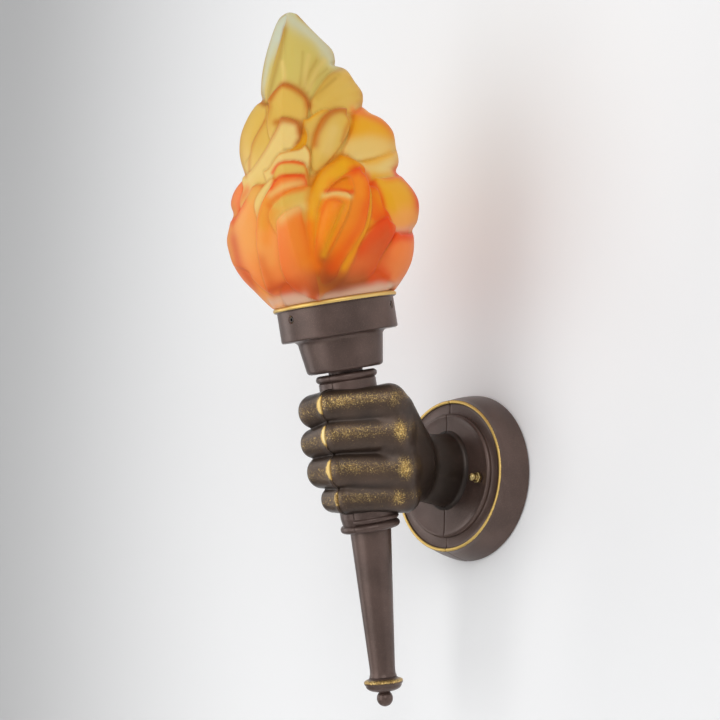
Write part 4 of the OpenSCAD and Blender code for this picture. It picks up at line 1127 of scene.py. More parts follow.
def add_dome(mesh, x):
    """Adds the small ball on its neck to a nut."""
    top = NUT_BASE + NUT_H
    outline = [(0, top - 0.6), (2.3, top - 0.6), (2.2, top + 0.5), (1.9, top + 1.0)]
    outline += [(max(r, 0), z) for r, z in arc(0, top + 3.0, DOME_R, -42, 90, 14)]
    dome = lathe(outline, (WALL[0], np.array([x, 0, -STUD_DROP])), 40)
    dome.verts.index_update()
    made = [mesh.verts.new(v.co) for v in dome.verts]
    for face in dome.faces:
        mesh.faces.new([made[v.index] for v in face.verts])
    dome.free()


def cap_nut(x):
    """Hexagon nut with chamfered corners, and a small ball on a neck."""
    mesh = bmesh.new()
    levels = ((0, 0.94), (0.35, 1.0), (NUT_H - 0.55, 1.0), (NUT_H, 0.86))
    rings = [[mesh.verts.new(p) for p in nut_ring(x, z, share)] for z, share in levels]
    for low, high in zip(rings, rings[1:]):
        for i in range(len(low)):
            j = (i + 1) % len(low)
            mesh.faces.new((low[i], low[j], high[j], high[i]))
    mesh.faces.new(rings[0][::-1])
    mesh.faces.new(rings[-1])
    bmesh.ops.recalc_face_normals(mesh, faces=mesh.faces)
    add_dome(mesh, x)
    return mesh


for side_name, side in SIDES:
    nut = piece_from_bmesh(f"cap_nut_{side_name}_turned", cap_nut(side * STUD_X), AGED_BRASS, 35, no_gilt)
    dress(nut, f"{side_name}_cap_nut", "aged_brass", f"cap_nut_{side_name}")

# ---------------------------------------------------------------- glass flame

NECK_R = 35.5
SHADE_FOOT = 96.4
FLAME_FOOT = 117.0
FLAME_TOP = 318.0
GLASS = 3.0
# The flame is the same on both sides of the plane of its outline, at these angles.
RIGHT_EDGE, LEFT_EDGE = 50.0, -130.0
# (height, radius) of the plain body that the petals lie on
BODY = (
    (116, 41.5), (128, 51), (145, 57.5), (165, 59), (188, 55), (212, 47),
    (238, 38), (262, 27.5), (285, 19.5), (304, 10.5), (318, 0.01),
)
BODY_SLOPES = (1.1, -1.6)
# (height, radius) of the outline on each side, lobe by lobe
RIGHT_OUTLINE = (
    (117, 42.6), (121.2, 46.8), (128, 52.8), (135.7, 57.5), (145.7, 60.5), (152, 61.0), (156.1, 61.1),
    (161.1, 65.1), (169.1, 67.8), (176, 68.2), (184.2, 65.3), (192.8, 59.6), (197.6, 56.2),
    (202, 58.4), (206.9, 59.4), (214, 58.8), (225.2, 58.5), (234.5, 52.9), (240, 44.7), (244.9, 40.2),
    (250.4, 41.5), (255.9, 41.6), (263.5, 37.9), (271.1, 34.3), (274.9, 30), (276.6, 26),
    (280.7, 26.7), (287.9, 25.7), (297.4, 18.8), (306, 12.6), (312.5, 8.2), (316.3, 5.2), (318, 0.01),
)
LEFT_OUTLINE = (
    (117, 42.6), (120.6, 45.8), (130.9, 53.3), (140.4, 60.1), (150.9, 64.8), (161, 66.7), (169.4, 66.7),
    (178.7, 63.1), (183, 60.8), (186.5, 59.4), (192.9, 60.2), (199.5, 57.7), (204.4, 53.4), (207.8, 48),
    (211.9, 47.3), (221.2, 48.7), (229.5, 48.4), (239.6, 45.7), (249.2, 40), (256.6, 33.2), (259.2, 27.5),
    (266.8, 27.4), (278.3, 24.8), (291.6, 19.9), (304.6, 13.6), (312.4, 9.0), (316.3, 5.2), (318, 0.01),
)
PAINTS = {
    "mist": (208, 210, 184), "olive": (212, 190, 100), "straw": (226, 184, 84), "cream": (236, 203, 122),
    "ochre": (202, 156, 56), "gold": (238, 168, 22), "amber": (224, 134, 6), "copper": (196, 98, 10),
    "tangerine": (246, 140, 30), "orange": (240, 112, 12), "red": (236, 70, 6), "rust": (204, 68, 18),
    "peach": (246, 162, 80), "salmon": (248, 132, 62), "brick": (216, 88, 36), "shade_clay": (148, 64, 26),
    "brown": (174, 126, 48), "frost": (230, 186, 158),
}
# Laid in this order. name: rise, width of the edge, reach of the tip's paint, paints at the tip, in the
# middle and at the foot, and the outline as (angle, height)
PETALS = {
    "sail": (1.6, 3, 6, "ochre", "olive", "straw", (
        (-66, 322), (-66, 310), (-93, 272), (-98, 262), (-84, 251), (-81, 239), (-63, 219), (-42, 206),
        (-8, 213), (62, 237), (62, 256), (62, 304), (62, 322)
    )),
    "gust": (2.4, 4, 4, "ochre", "straw", "straw", (
        (62, 278), (6, 268), (-28, 253), (-34, 245), (-32, 238), (-16, 240), (62, 241), (62, 286)
    )),
    "left_high": (3, 3.6, 4, "copper", "straw", "cream", (
        (-97, 257), (-75, 249), (-84, 230), (-91, 209), (-99, 203), (-142, 205), (-142, 231),
        (-142, 253), (-142, 264)
    )),
    "left_inner": (2.6, 2.6, 3, "copper", "straw", "cream", (
        (-85, 253), (-83, 244), (-97, 230), (-100, 222), (-112, 215), (-101, 205), (-86, 202),
        (-69, 210), (-62, 226), (-68, 244), (-80, 254)
    )),
    "shield": (2.8, 2.6, 5, "copper", "straw", "cream", (
        (-62, 266), (-85, 258), (-79, 251), (-77, 233), (-67, 219), (-55, 214), (-47, 220), (-34, 246),
        (-40, 258)
    )),
    "right_high": (3.4, 3.6, 6, "orange", "gold", "cream", (
        (15, 240), (6, 233), (-8, 219), (-14, 213), (-13, 207), (1, 204), (62, 211), (62, 209),
        (62, 245)
    )),
    "right_fold": (2, 3.5, 4, "gold", "cream", "straw", (
        (-12, 210), (2, 204), (62, 213), (62, 195), (35, 192), (5, 187), (-9, 188), (-15, 198)
    )),
    "gusset": (1.8, 2.2, 4, "gold", "straw", "straw", (
        (-43, 236), (-38, 238), (-22, 243), (-13, 240), (-20, 220), (-36, 200), (-46, 201), (-48, 217)
    )),
    "oval": (3.2, 2.8, 4.5, "copper", "straw", "straw", (
        (-42, 208), (-30, 233), (-13, 242), (6, 243), (3, 238), (2, 231), (-11, 218), (-36, 200)
    )),
    "left_middle": (2.8, 3, 6, "red", "salmon", "peach", (
        (-100, 205), (-103, 199), (-99, 193), (-115, 184), (-142, 182), (-142, 205), (-142, 215)
    )),
    "hook": (3.4, 2.6, 4.5, "copper", "cream", "straw", (
        (-61, 242), (-65, 237), (-74, 227), (-93, 212), (-110, 209), (-103, 201), (-107, 188),
        (-100, 177), (-77, 173), (-59, 181), (-47, 196), (-46, 210), (-49, 219), (-45, 226), (-47, 237)
    )),
    "hollow": (-1.6, 4, 4, "gold", "gold", "gold", (
        (-43, 232), (-47, 224), (-54, 219), (-59, 219), (-51, 216), (-43, 219), (-40, 227)
    )),
    "fold": (2.2, 2.2, 2.6, "amber", "cream", "straw", (
        (-78, 206), (-73, 209), (-64, 217), (-49, 218), (-43, 220), (-40, 210), (-50, 189), (-68, 186)
    )),
    "ledge_high": (2.6, 2, 2.6, "orange", "straw", "straw", (
        (-69, 194), (-67, 206), (-60, 211), (-45, 207), (-45, 190), (-51, 180), (-66, 182)
    )),
    "left_low": (2, 4, 4, "rust", "salmon", "peach", (
        (-142, 168), (-142, 165), (-96, 150), (-87, 136), (-93, 112), (-142, 112)
    )),
    "left_broad": (3.2, 3, 7, "red", "peach", "salmon", (
        (-69, 199), (-76, 199), (-87, 200), (-94, 193), (-109, 184), (-142, 179), (-142, 155),
        (-106, 145), (-103, 137), (-96, 127), (-85, 125), (-77, 146), (-76, 168), (-67, 187)
    )),
    "sliver": (2.2, 2.4, 3, "amber", "cream", "peach", (
        (-66, 201), (-71, 201), (-79, 194), (-83, 185), (-80, 170), (-72, 175), (-63, 192)
    )),
    "right_middle": (3.4, 3.6, 6, "orange", "gold", "peach", (
        (4, 192), (17, 192), (62, 197), (62, 203), (62, 155), (62, 156), (33, 153), (13, 154), (5, 159),
        (2, 176), (-4, 182)
    )),
    "right_low": (3, 3.6, 7, "red", "salmon", "salmon", (
        (13, 155), (19, 153), (33, 153), (62, 156), (62, 154), (62, 115), (34, 119), (12, 123),
        (-7, 131), (-6, 138), (7, 150)
    )),
    "inner_right": (3, 2.8, 4, "red", "orange", "tangerine", (
        (-8, 193), (-3, 188), (2, 184), (4, 172), (7, 167), (11, 156), (7, 149), (-2, 139), (-5, 130),
        (-12, 126), (-26, 129), (-25, 152), (-16, 170)
    )),
    "leaf_right": (2.4, 2.4, 6, "red", "brick", "salmon", (
        (-20, 147), (-13, 157), (3, 165), (5, 162), (11, 156), (-2, 139), (-10, 126), (-29, 125),
        (-33, 133), (-28, 141)
    )),
    "left_front": (3.6, 2.8, 4.5, "red", "peach", "salmon", (
        (-45, 196), (-54, 201), (-67, 197), (-84, 168), (-92, 132), (-95, 127), (-81, 129), (-74, 131),
        (-60, 125), (-54, 122), (-50, 136), (-47, 172)
    )),
    "ledge_low": (2.2, 2, 2.4, "orange", "straw", "peach", (
        (-71, 179), (-58, 190), (-46, 192), (-41, 188), (-44, 172), (-48, 152), (-57, 147), (-64, 156),
        (-71, 168)
    )),
    "arch": (3.6, 3, 4, "amber", "gold", "tangerine", (
        (-48, 172), (-39, 198), (-21, 208), (-15, 210), (-2, 201), (-4, 192), (-5, 179), (-10, 162),
        (-20, 145), (-30, 127), (-46, 120), (-54, 120)
    )),
    "leaf": (3.4, 2.6, 7, "red", "tangerine", "orange", (
        (-35, 186), (-21, 196), (-8, 200), (-8, 197), (-5, 188), (-15, 158), (-31, 137), (-36, 129),
        (-46, 126), (-47, 136), (-41, 171)
    )),
    "window": (-2.6, 2.4, 3, "amber", "gold", "amber", (
        (-35, 185), (-30, 190), (-22, 194), (-18, 192), (-20, 180), (-32, 182)
    )),
    "lip": (3.4, 2, 2.2, "gold", "tangerine", "orange", (
        (-35, 184), (-26, 185), (-21, 181), (-25, 168), (-38, 146), (-45, 141), (-46, 152), (-41, 174)
    )),
    "finger": (2.4, 2.2, 3, "orange", "tangerine", "orange", (
        (-50, 136), (-47, 149), (-38, 177), (-32, 180), (-27, 176), (-29, 171), (-39, 150), (-47, 132)
    )),
    "spear": (3.8, 2.6, 3, "salmon", "salmon", "brick", (
        (-63, 175), (-67, 167), (-73, 132), (-57, 117), (-50, 122), (-50, 169), (-50, 177), (-53, 179)
    )),
}
# ridges and grooves: height, width, (angle, height) along them
RIDGES = (
    (1.1, 2.6, ((-64, 305), (-60, 290), (-61, 275), (-62, 266))),
    (0.9, 2.4, ((-61, 265), (-61, 254), (-61, 242))),
    (0.9, 2.4, ((-60, 241), (-60, 229), (-61, 219))),
    (0.9, 2.2, ((-61, 217), (-59, 206), (-59, 198), (-60, 190), (-60, 179))),
    (1.6, 3.2, (
        (-59, 177), (-58, 170), (-58, 162), (-58, 154), (-58, 147), (-58, 140), (-58, 133), (-57, 126),
        (-56, 119)
    )),
    (-0.9, 3, ((-42, 253), (-21, 268), (17, 284))),
    (-1.1, 3, ((-34, 251), (-9, 263), (29, 274))),
    (-0.9, 3, ((-24, 247), (1, 256), (34, 263))),
    (-0.7, 3, ((-11, 246), (13, 250), (41, 254))),
    (-1.2, 2.2, ((-26, 175), (-30, 169), (-33, 162), (-37, 155), (-40, 148), (-44, 141))),
    (-1, 2.5, ((-48, 176), (-49, 166), (-49, 156), (-50, 146))),
    (-0.8, 3, ((-14, 169), (-17, 161), (-21, 154), (-26, 147))),
)
# where neighbouring petals run smoothly into each other: width, share, (angle, height)
MELTS = (
    (7, 1, ((-47, 186), (-47, 174), (-48, 162), (-49, 151), (-50, 142), (-50, 130))),
    (5, 0.8, ((-50, 126), (-42, 123), (-30, 124))),
    (3, 0.6, ((-46, 197), (-47, 189))),
)
# soft strokes, most of them sprayed paint and some of them painted shade and painted highlights: paint,
# width, share, (angle, height) along them
STROKES = (
    ("mist", 4.5, 0.7, ((-123, 316), (-106, 304), (-109, 289), (-111, 276), (-122, 261))),
    ("mist", 7, 0.75, ((-80, 317), (0, 306), (27, 298), (31, 287), (38, 280))),
    # painted shade: brown along the step at the sail's left edge, and ochre along the sail's grooves
    ("brown", 2.6, 0.5, ((-64, 305), (-68, 289), (-77, 277), (-85, 265), (-91, 255))),
    ("ochre", 5, 0.35, ((-1, 278), (-27, 266), (-43, 258))),
    ("ochre", 2.4, 0.45, ((21, 268), (-4, 261), (-24, 252))),
    ("straw", 5, 0.5, ((18, 255), (2, 250), (-13, 247))),
    # a painted highlight in cream along the seam's ridge
    ("cream", 1.8, 0.6, ((-64, 281), (-61, 274), (-61, 267))),
    ("ochre", 2.2, 0.4, ((48, 268), (47, 261), (44, 253))),
    ("copper", 2.6, 0.75, (
        (-77, 257), (-69, 263), (-61, 265), (-50, 262), (-41, 258), (-35, 253), (-34, 247)
    )),
    ("copper", 3, 0.7, ((-36, 219), (-33, 226), (-27, 232), (-19, 238), (-7, 241), (0, 240))),
    ("copper", 1.8, 0.5, ((6, 236), (-6, 228), (-13, 219))),
    ("cream", 5, 0.55, ((-19, 227), (-27, 214))),
    ("orange", 4.5, 0.75, ((17, 240), (28, 236), (38, 232), (44, 225))),
    ("gold", 6, 0.65, ((5, 231), (19, 227), (36, 221))),
    ("cream", 6, 0.6, ((-5, 215), (17, 217), (39, 213))),
    ("gold", 3.5, 0.55, ((4, 203), (16, 204), (34, 209))),
    ("gold", 2.2, 0.55, ((6, 193), (20, 194), (49, 198))),
    ("red", 7.5, 0.9, ((41, 195), (44, 190), (43, 181), (42, 173))),
    ("gold", 7, 0.85, ((4, 189), (6, 179), (12, 170))),
    ("peach", 6, 0.6, ((11, 161), (22, 164), (32, 164))),
    ("frost", 2.4, 0.55, ((14, 155), (24, 155), (41, 157))),
    ("red", 4, 0.7, ((10, 151), (17, 151), (33, 152))),
    ("peach", 5, 0.55, ((50, 120), (48, 130))),
    ("red", 4.5, 0.75, ((-9, 127), (-3, 130), (9, 125))),
    ("red", 3.2, 0.7, ((-14, 198), (-10, 199), (-1, 194), (-1, 186))),
    ("red", 2.4, 0.7, ((1, 188), (4, 178), (4, 167), (4, 155))),
    ("red", 7, 0.6, ((0, 161), (-9, 154), (-18, 147))),
    ("brick", 8, 0.6, ((-2, 139), (-11, 132), (-25, 131))),
    # painted shade low in the middle of the flame, near the cup
    ("shade_clay", 8.5, 0.8, ((-45, 140), (-43, 130), (-34, 125))),
    ("shade_clay", 6, 0.55, ((-51, 123), (-36, 123), (-16, 125))),
    ("frost", 2.6, 0.55, ((-51, 117), (-25, 118), (1, 119), (45, 120))),
    ("frost", 4, 0.8, ((-106, 121), (-79, 121), (-65, 120))),
    ("brick", 4, 0.8, ((-92, 128), (-80, 130), (-70, 130), (-65, 127))),
    ("gold", 4, 0.45, ((-71, 186), (-75, 178), (-76, 171))),
    ("tangerine", 5, 0.5, ((-66, 182), (-71, 172), (-76, 161))),
    ("cream", 2.4, 0.55, ((-67, 189), (-60, 193), (-49, 195))),
    ("orange", 2.6, 0.6, ((-65, 196), (-58, 198), (-48, 197))),
    ("red", 1.4, 0.75, ((-67, 194), (-65, 199), (-61, 201), (-54, 200), (-47, 199))),
    ("red", 1.4, 0.75, ((-69, 205), (-65, 209), (-60, 210), (-53, 209), (-47, 207))),
    ("orange", 2.6, 0.75, ((-69, 183), (-64, 187), (-57, 189), (-48, 190))),
    ("straw", 3.4, 0.8, ((-65, 182), (-58, 184), (-47, 185))),
    ("amber", 3, 0.7, ((-47, 173), (-44, 187), (-38, 197), (-28, 204), (-17, 209), (-11, 205))),
    ("gold", 4, 0.7, ((-46, 161), (-44, 174), (-41, 182), (-33, 192), (-20, 200))),
    ("orange", 5.5, 0.8, ((-48, 165), (-49, 151), (-48, 139))),
    ("red", 2, 0.9, ((-34, 186), (-27, 186), (-20, 183))),
    ("orange", 4, 0.6, ((-29, 190), (-20, 189))),
    ("cream", 2.2, 0.8, ((-36, 183), (-29, 183), (-22, 180))),
    ("orange", 2.6, 0.6, ((-39, 174), (-35, 178), (-31, 179), (-29, 174))),
    ("gold", 2.2, 0.6, ((-27, 174), (-32, 165), (-37, 155), (-42, 145))),
    ("gold", 2.4, 0.6, ((-9, 162), (-19, 152), (-25, 144), (-30, 135))),
    ("red", 4.5, 0.45, ((-13, 173), (-20, 159), (-29, 146), (-38, 136))),
    ("copper", 2.6, 0.7, ((-67, 239), (-59, 239), (-51, 237), (-45, 235), (-45, 229))),
    ("copper", 2.2, 0.45, ((-82, 242), (-91, 232), (-98, 221), (-99, 208))),
    ("red", 4, 0.55, ((-96, 198), (-108, 190), (-113, 179))),
    ("straw", 5, 0.6, ((-88, 193), (-82, 197))),
    ("brick", 7, 0.75, ((-110, 167), (-110, 152), (-109, 138))),
    ("salmon", 6, 0.6, ((-64, 164), (-66, 153), (-65, 138))),
    ("brick", 5, 0.45, ((-84, 148), (-85, 134))),
    ("tangerine", 6, 0.6, ((-55, 173), (-55, 157), (-54, 142))),
    # painted shade in brown down the grooves across the sail, and a painted highlight in cream beside two of
    # them
    ("brown", 1.2, 0.26, ((-40, 263), (-32, 276), (-25, 286))),
    ("brown", 1.2, 0.28, ((-35, 260), (-24, 270), (-4, 279))),
    ("brown", 1.2, 0.28, ((-33, 256), (-16, 266), (11, 273))),
    ("brown", 1.2, 0.28, ((-30, 252), (-12, 258), (12, 265))),
    ("cream", 2, 0.4, ((-33, 262), (-27, 273), (-16, 283))),
    ("cream", 2, 0.4, ((-29, 259), (-12, 271), (14, 279))),
    ("cream", 3.4, 0.6, ((-62, 172), (-56, 176), (-50, 178))),
    ("peach", 3, 0.4, ((-77, 146), (-71, 160), (-63, 171))),
)
FRONT_ANGLE = -40       # the side of the flame that faces the camera
STAND_OFF = 3           # how far out from the body the flame is measured
PETAL_MARGIN = 4        # how far above and below its outline a petal's edge is worked out
FORM_END, PILLOW_END = 284, 290     # the petals flatten from here up to the tip
PILLOW_REACH = 12
# width of the painted shade in the crease outside a petal
CREASE_SHADE_WIDTH = 1.1
# width of the painted shade along the inside of a petal's edge
EDGE_SHADE_WIDTH = 1.8
CALM_ANGLE, MEET_ANGLE, OUTLINE_SHADE_ANGLE = 8, 24, 14      # how far in from an outline each one reaches
# colour that the painted shade along a petal's edge multiplies by
EDGE_SHADE_TINT = np.array([0.80, 0.50, 0.25])
# how much the painted shade towards the flame's outline takes from each colour
OUTLINE_SHADE_TINT = np.array([0.22, 0.50, 0.75])
# (height, paint) of the glass under the petals
GROUND = (
    (117, "frost"), (119, "frost"), (125, "brick"), (150, "orange"), (185, "tangerine"),
    (205, "straw"), (250, "straw"), (280, "olive"), (300, "mist"), (318, "mist"),
)


def paint(name):
    """A paint's colour in linear light."""
    linear = []
    for c in PAINTS[name]:
        linear.append((c / 255 / 12.92) if c < 10 else ((c / 255 + 0.055) / 1.055) ** 2.4)
    return np.array(linear)


def spline(points, steps, closed):
    """A smooth line through points."""
    p = np.array(points, float)
    n = len(p)
    result = []
    for i in range(n if closed else n - 1):
        if closed:
            a, b, c, d = (p[(i + k) % n] for k in (-1, 0, 1, 2))
        else:
            b, c = p[i], p[i + 1]
            a = p[i - 1] if i else 2 * b - c
            d = p[i + 2] if i + 2 < n else 2 * c - b
        for t in np.arange(steps) / steps:
            cubic = 2 * a - 5 * b + 4 * c - d + t * (3 * (b - c) + d - a)
            result.append(b + 0.5 * t * (c - a + t * cubic))
    if not closed:
        result.append(p[-1])
    return np.array(result)


def body_radius(s):
    """Radius of the plain body at each height, on a smooth curve through BODY."""
    a, b = np.array(BODY, float).T
    slope = np.zeros(len(a))
    slope[1:-1] = (b[2:] - b[:-2]) / (a[2:] - a[:-2])
    slope[0], slope[-1] = BODY_SLOPES
    i = np.clip(np.searchsorted(a, s, side="right") - 1, 0, len(a) - 2)
    h = a[i + 1] - a[i]
    t = np.clip((s - a[i]) / h, 0, 1)
    return (
        (2 * t**3 - 3 * t**2 + 1) * b[i]
        + (t**3 - 2 * t**2 + t) * h * slope[i]
        + (3 * t**2 - 2 * t**3) * b[i + 1]
        + (t**3 - t**2) * h * slope[i + 1]
    )


def outline_radius(outline, s):
    """Radius of the flame's outline at each height."""
    line = spline(outline, 6, False)
    return np.interp(s, line[:, 0], line[:, 1])


def unrolled(angle, s):
    """Millimetres round the flame from the side that faces the camera."""
    around = np.radians(np.asarray(angle, float) - FRONT_ANGLE)
    return around * (body_radius(np.asarray(s, float)) + STAND_OFF)


def flat_line(path, closed=False):
    """A smooth line through (angle, height) places, on the unrolled flame."""
    angle, s = np.array(path, float).T
    return spline(np.stack([unrolled(angle, s), s], 1), 4, closed)


def line_distance(x, y, line, closed=False):
    """Distance to a bent line, and whether each point is inside it."""
    best = np.full(x.shape, 1e9)
    inside = np.zeros(x.shape, bool)
    ends = np.roll(line, -1, 0) if closed else line[1:]
    for (ax, ay), (bx, by) in zip(line, ends):
        dx, dy = bx - ax, by - ay
        length = dx * dx + dy * dy
        if length < 1e-9:
            continue
        t = np.clip(((x - ax) * dx + (y - ay) * dy) / length, 0, 1)
        best = np.minimum(best, (x - ax - t * dx) ** 2 + (y - ay - t * dy) ** 2)
        if closed and ay != by:
            inside ^= ((ay > y) != (by > y)) & (x < ax + (y - ay) * dx / dy)
    return np.sqrt(best), inside


def bell(gap, width):
    """1 at a gap of 0, and soft down to nothing past the width."""
    return np.exp(-((gap / width) ** 2))


def softened(field, rows, columns):
    """The field blurred over so many rows and columns, mirrored at its sides."""
    wide = np.concatenate([field, field[:, ::-1]], 1)
    tall = np.concatenate([wide, wide[::-1]], 0)
    fr = np.fft.fftfreq(tall.shape[0])[:, None]
    fc = np.fft.rfftfreq(tall.shape[1])[None, :]
    pass_band = np.exp(-2 * math.pi**2 * ((fr * rows) ** 2 + (fc * columns) ** 2))
    flat = np.fft.irfft2(np.fft.rfft2(tall) * pass_band, tall.shape)
    return flat[: field.shape[0], : field.shape[1]]


def ground_tint(s):
    """Colour of the glass under the petals."""
    heights = [height for height, _ in GROUND]
    colours = np.array([paint(name) for _, name in GROUND])
    return np.stack([np.interp(s, heights, colours[:, k]) for k in range(3)], -1)


def petal_tint(gap, v, reach, tip, middle, foot):
    """A petal's own colours up its length and round its tip, with painted shade along its edge."""
    own = paint(foot) + (paint(middle) - paint(foot)) * ease(v, 0.0, 0.55)[..., None]
    tip_share = np.clip(1 - gap / reach, 0, 1) ** 1.1 * ease(v, 0.2, 0.9)
    own = own + (paint(tip) - own) * tip_share[..., None]
    # painted shade: a dark line just inside the petal's edge
    edge_shade_share = 0.70 * np.clip(1 - gap / EDGE_SHADE_WIDTH, 0, 1)[..., None]
    return own * (1 - edge_shade_share * (1 - EDGE_SHADE_TINT))


def lay_petal(r, tint, x, z, petal):
    """Lays one petal over what is there: its raised form and its colours."""
    rise, width, reach, tip, middle, foot, outline = petal
    heights = [p[1] for p in outline]
    low, high = max(min(heights), FLAME_FOOT), max(heights)
    near = (z[:, 0] > low - PETAL_MARGIN) & (z[:, 0] < high + PETAL_MARGIN)
    s = z[near]
    gap, inside = line_distance(x[near], s, flat_line(outline, True), True)
    v = np.clip((s - low) / (high - low), 0, 1)
    below = softened(r, 4 / (z[1, 0] - z[0, 0]), 4.5)[near]
    full = rise * (0.35 + 0.65 * ease(v, 0.0, 0.75)) * ease(s, FLAME_TOP, FORM_END)
    round_edge = np.sqrt(1 - (1 - np.clip(gap / width, 0, 1)) ** 2)
    pillow = 0.35 * rise * np.clip(gap / PILLOW_REACH, 0, 1) * ease(s, FLAME_TOP, PILLOW_END)
    raised = below + full * (round_edge if rise > 0 else ease(gap, 0, width)) + pillow
    under = r[near]
    r[near] = np.where(inside, under + (raised - under) * ease(gap, 0, 1.1), under)
    # painted shade in the crease just outside the petal's edge
    crease_shade = np.where(inside, 0, bell(gap, CREASE_SHADE_WIDTH) * 0.32)[..., None]
    around = tint[near] + (paint("brown") - tint[near]) * crease_shade
    cover = np.where(inside, ease(gap, 0, 0.8), 0)[..., None]
    tint[near] = around + (petal_tint(gap, v, reach, tip, middle, foot) - around) * cover


def meet_outline(r, tint, angle, z, edge, outline):
    """Brings one edge of the half flame out to its outline, calm towards it, with painted shade along it."""
    step = z[1, 0] - z[0, 0]
    r += (softened(r, 5 / step, 9) - r) * bell(angle - edge, CALM_ANGLE)
    column = 0 if edge == LEFT_EDGE else -1
    short = outline_radius(outline, z[:, 0]) - r[:, column]
    r += short[:, None] * bell(angle - edge, MEET_ANGLE)
    # painted shade towards the outline
    tint *= 1 - 0.60 * bell(angle - edge, OUTLINE_SHADE_ANGLE)[..., None] * OUTLINE_SHADE_TINT


def half_flame(angle, s):
    """Radius and tint of the flame on one side of its outline."""
    a, z = np.meshgrid(angle, s)
    x = unrolled(a, z)
    r = body_radius(z)
    tint = ground_tint(z)
    for petal in PETALS.values():
        lay_petal(r, tint, x, z, petal)
    for width, share, path in MELTS:
        gap, _ = line_distance(x, z, flat_line(path))
        r += (softened(r, 5 / (s[1] - s[0]), 8) - r) * share * bell(gap, width)
    for rise, width, path in RIDGES:
        gap, _ = line_distance(x, z, flat_line(path))
        r += rise * (np.exp(-gap / width) if rise > 0 else bell(gap, width))
    for name, width, share, path in STROKES:
        gap, _ = line_distance(x, z, flat_line(path))
        tint += (paint(name) - tint) * (share * bell(gap, width))[..., None]
    meet_outline(r, tint, a, z, RIGHT_EDGE, RIGHT_OUTLINE)
    meet_outline(r, tint, a, z, LEFT_EDGE, LEFT_OUTLINE)
    return np.maximum(r, 0.5), tint


def whole_flame(front=280, back=118, rows=236):
    """Angles, heights, radius and tint all round: the far half mirrors the near one."""
    half = np.linspace(LEFT_EDGE, RIGHT_EDGE, front + 1)
    s = np.linspace(FLAME_FOOT, FLAME_TOP, rows + 1)[:-2]
    r, tint = half_flame(half, s)
    far = np.linspace(RIGHT_EDGE, RIGHT_EDGE + 180, back + 2)[1:-1]
    place = (2 * RIGHT_EDGE - far - LEFT_EDGE) / (half[1] - half[0])
    i = np.clip(place.astype(int), 0, front - 1)
    t = place - i
    r = np.concatenate([r, r[:, i] * (1 - t) + r[:, i + 1] * t], 1)
    t = t[:, None]
    tint = np.concatenate([tint, tint[:, i] * (1 - t) + tint[:, i + 1] * t], 1)
    return np.radians(np.concatenate([half, far])), s, r, tint


class Skin:
    """Rings of points about the torch's axis, joined into one closed skin."""

    def __init__(self):
        self.points = []
        self.tints = []
        self.faces = []
        self.count = 0

    def ring(self, where, radius, height, tint):
        """Adds a ring with a point at each angle, and returns the number of its first point."""
        first = self.count
        x, y = radius * np.cos(where), radius * np.sin(where)
        self.points.append(np.stack([x, y, np.full(len(where), height)], -1))
        self.tints.append(np.broadcast_to(tint, (len(where), 3)))
        self.count += len(where)
        return first

    def join(self, rings, n):
        """Joins rings of n points each, one to the next."""
        for low, high in zip(rings, rings[1:]):
            for k in range(n):
                m = (k + 1) % n
                self.faces.append((low + k, low + m, high + m, high + k))


def outer_rings(skin, where, s, r, tint):
    """The shade's outside: its neck, the flame and the rounded tip."""
    frost = paint("frost")
    rings = [skin.ring(where, NECK_R, height, frost) for height in (SHADE_FOOT, FLAME_FOOT - 1.2)]
    rings += [skin.ring(where, r[k], s[k], tint[k]) for k in range(len(s))]
    for left in (0.62, 0.34, 0.14, 0.03):
        height = FLAME_TOP - (FLAME_TOP - s[-1]) * left
        rings.append(skin.ring(where, r[-1] * math.sqrt(left), height, tint[-1]))
    n = len(where)
    skin.join(rings, n)
    apex = skin.ring(np.zeros(1), 0.0, FLAME_TOP, tint[-1][:1])
    skin.faces.extend((rings[-1] + k, rings[-1] + (k + 1) % n, apex) for k in range(n))
    return rings


def inner_rings(skin, where):
    """The smooth inside, from the foot up to its flat end."""
    heights = [SHADE_FOOT, FLAME_FOOT - 1] + list(np.linspace(121, 300, 24))
    radii = [NECK_R - GLASS] * 2
    radii += [max(body_radius(np.array([height]))[0] - GLASS, 0.6) for height in heights[2:]]
    rings = [skin.ring(where, radius, height, paint("frost")) for radius, height in zip(radii, heights)]
    skin.join(rings[::-1], len(where))
    skin.faces.append([rings[-1] + k for k in range(len(where))][::-1])
    return rings


def glass_flame():
    """Closed skin of the shade. Its inside has fewer sides, and the flat foot joins the two."""
    where, s, r, tint = whole_flame()
    skin = Skin()
    outer = outer_rings(skin, where, s, r, tint)
    columns = len(where)
    sides = columns // 8
    firsts = [round(k * columns / sides) for k in range(sides)] + [columns]
    inner = inner_rings(skin, where[firsts[:-1]])
    for k in range(sides):
        edge = [outer[0] + (m % columns) for m in range(firsts[k], firsts[k + 1] + 1)]
        skin.faces.append([inner[0] + k, inner[0] + (k + 1) % sides] + edge[::-1])
    return to_part(np.concatenate(skin.points), TORCH), skin.faces, np.concatenate(skin.tints)


points, faces, tints = glass_flame()
flame = add_piece("glass_flame", points, faces, FLAME_GLASS, 0, None, {"tint": tints})
dress(flame, "shade", "flame_glass", "glass_shade")

# ---------------------------------------------------------------- wall, light and camera

# The room, in metres
BEHIND = 0.0005
ROOM_LEFT, ROOM_RIGHT, ROOM_FRONT = -9, 6, -8
FLOOR_Z, ROOM_TOP = -1.2, 5


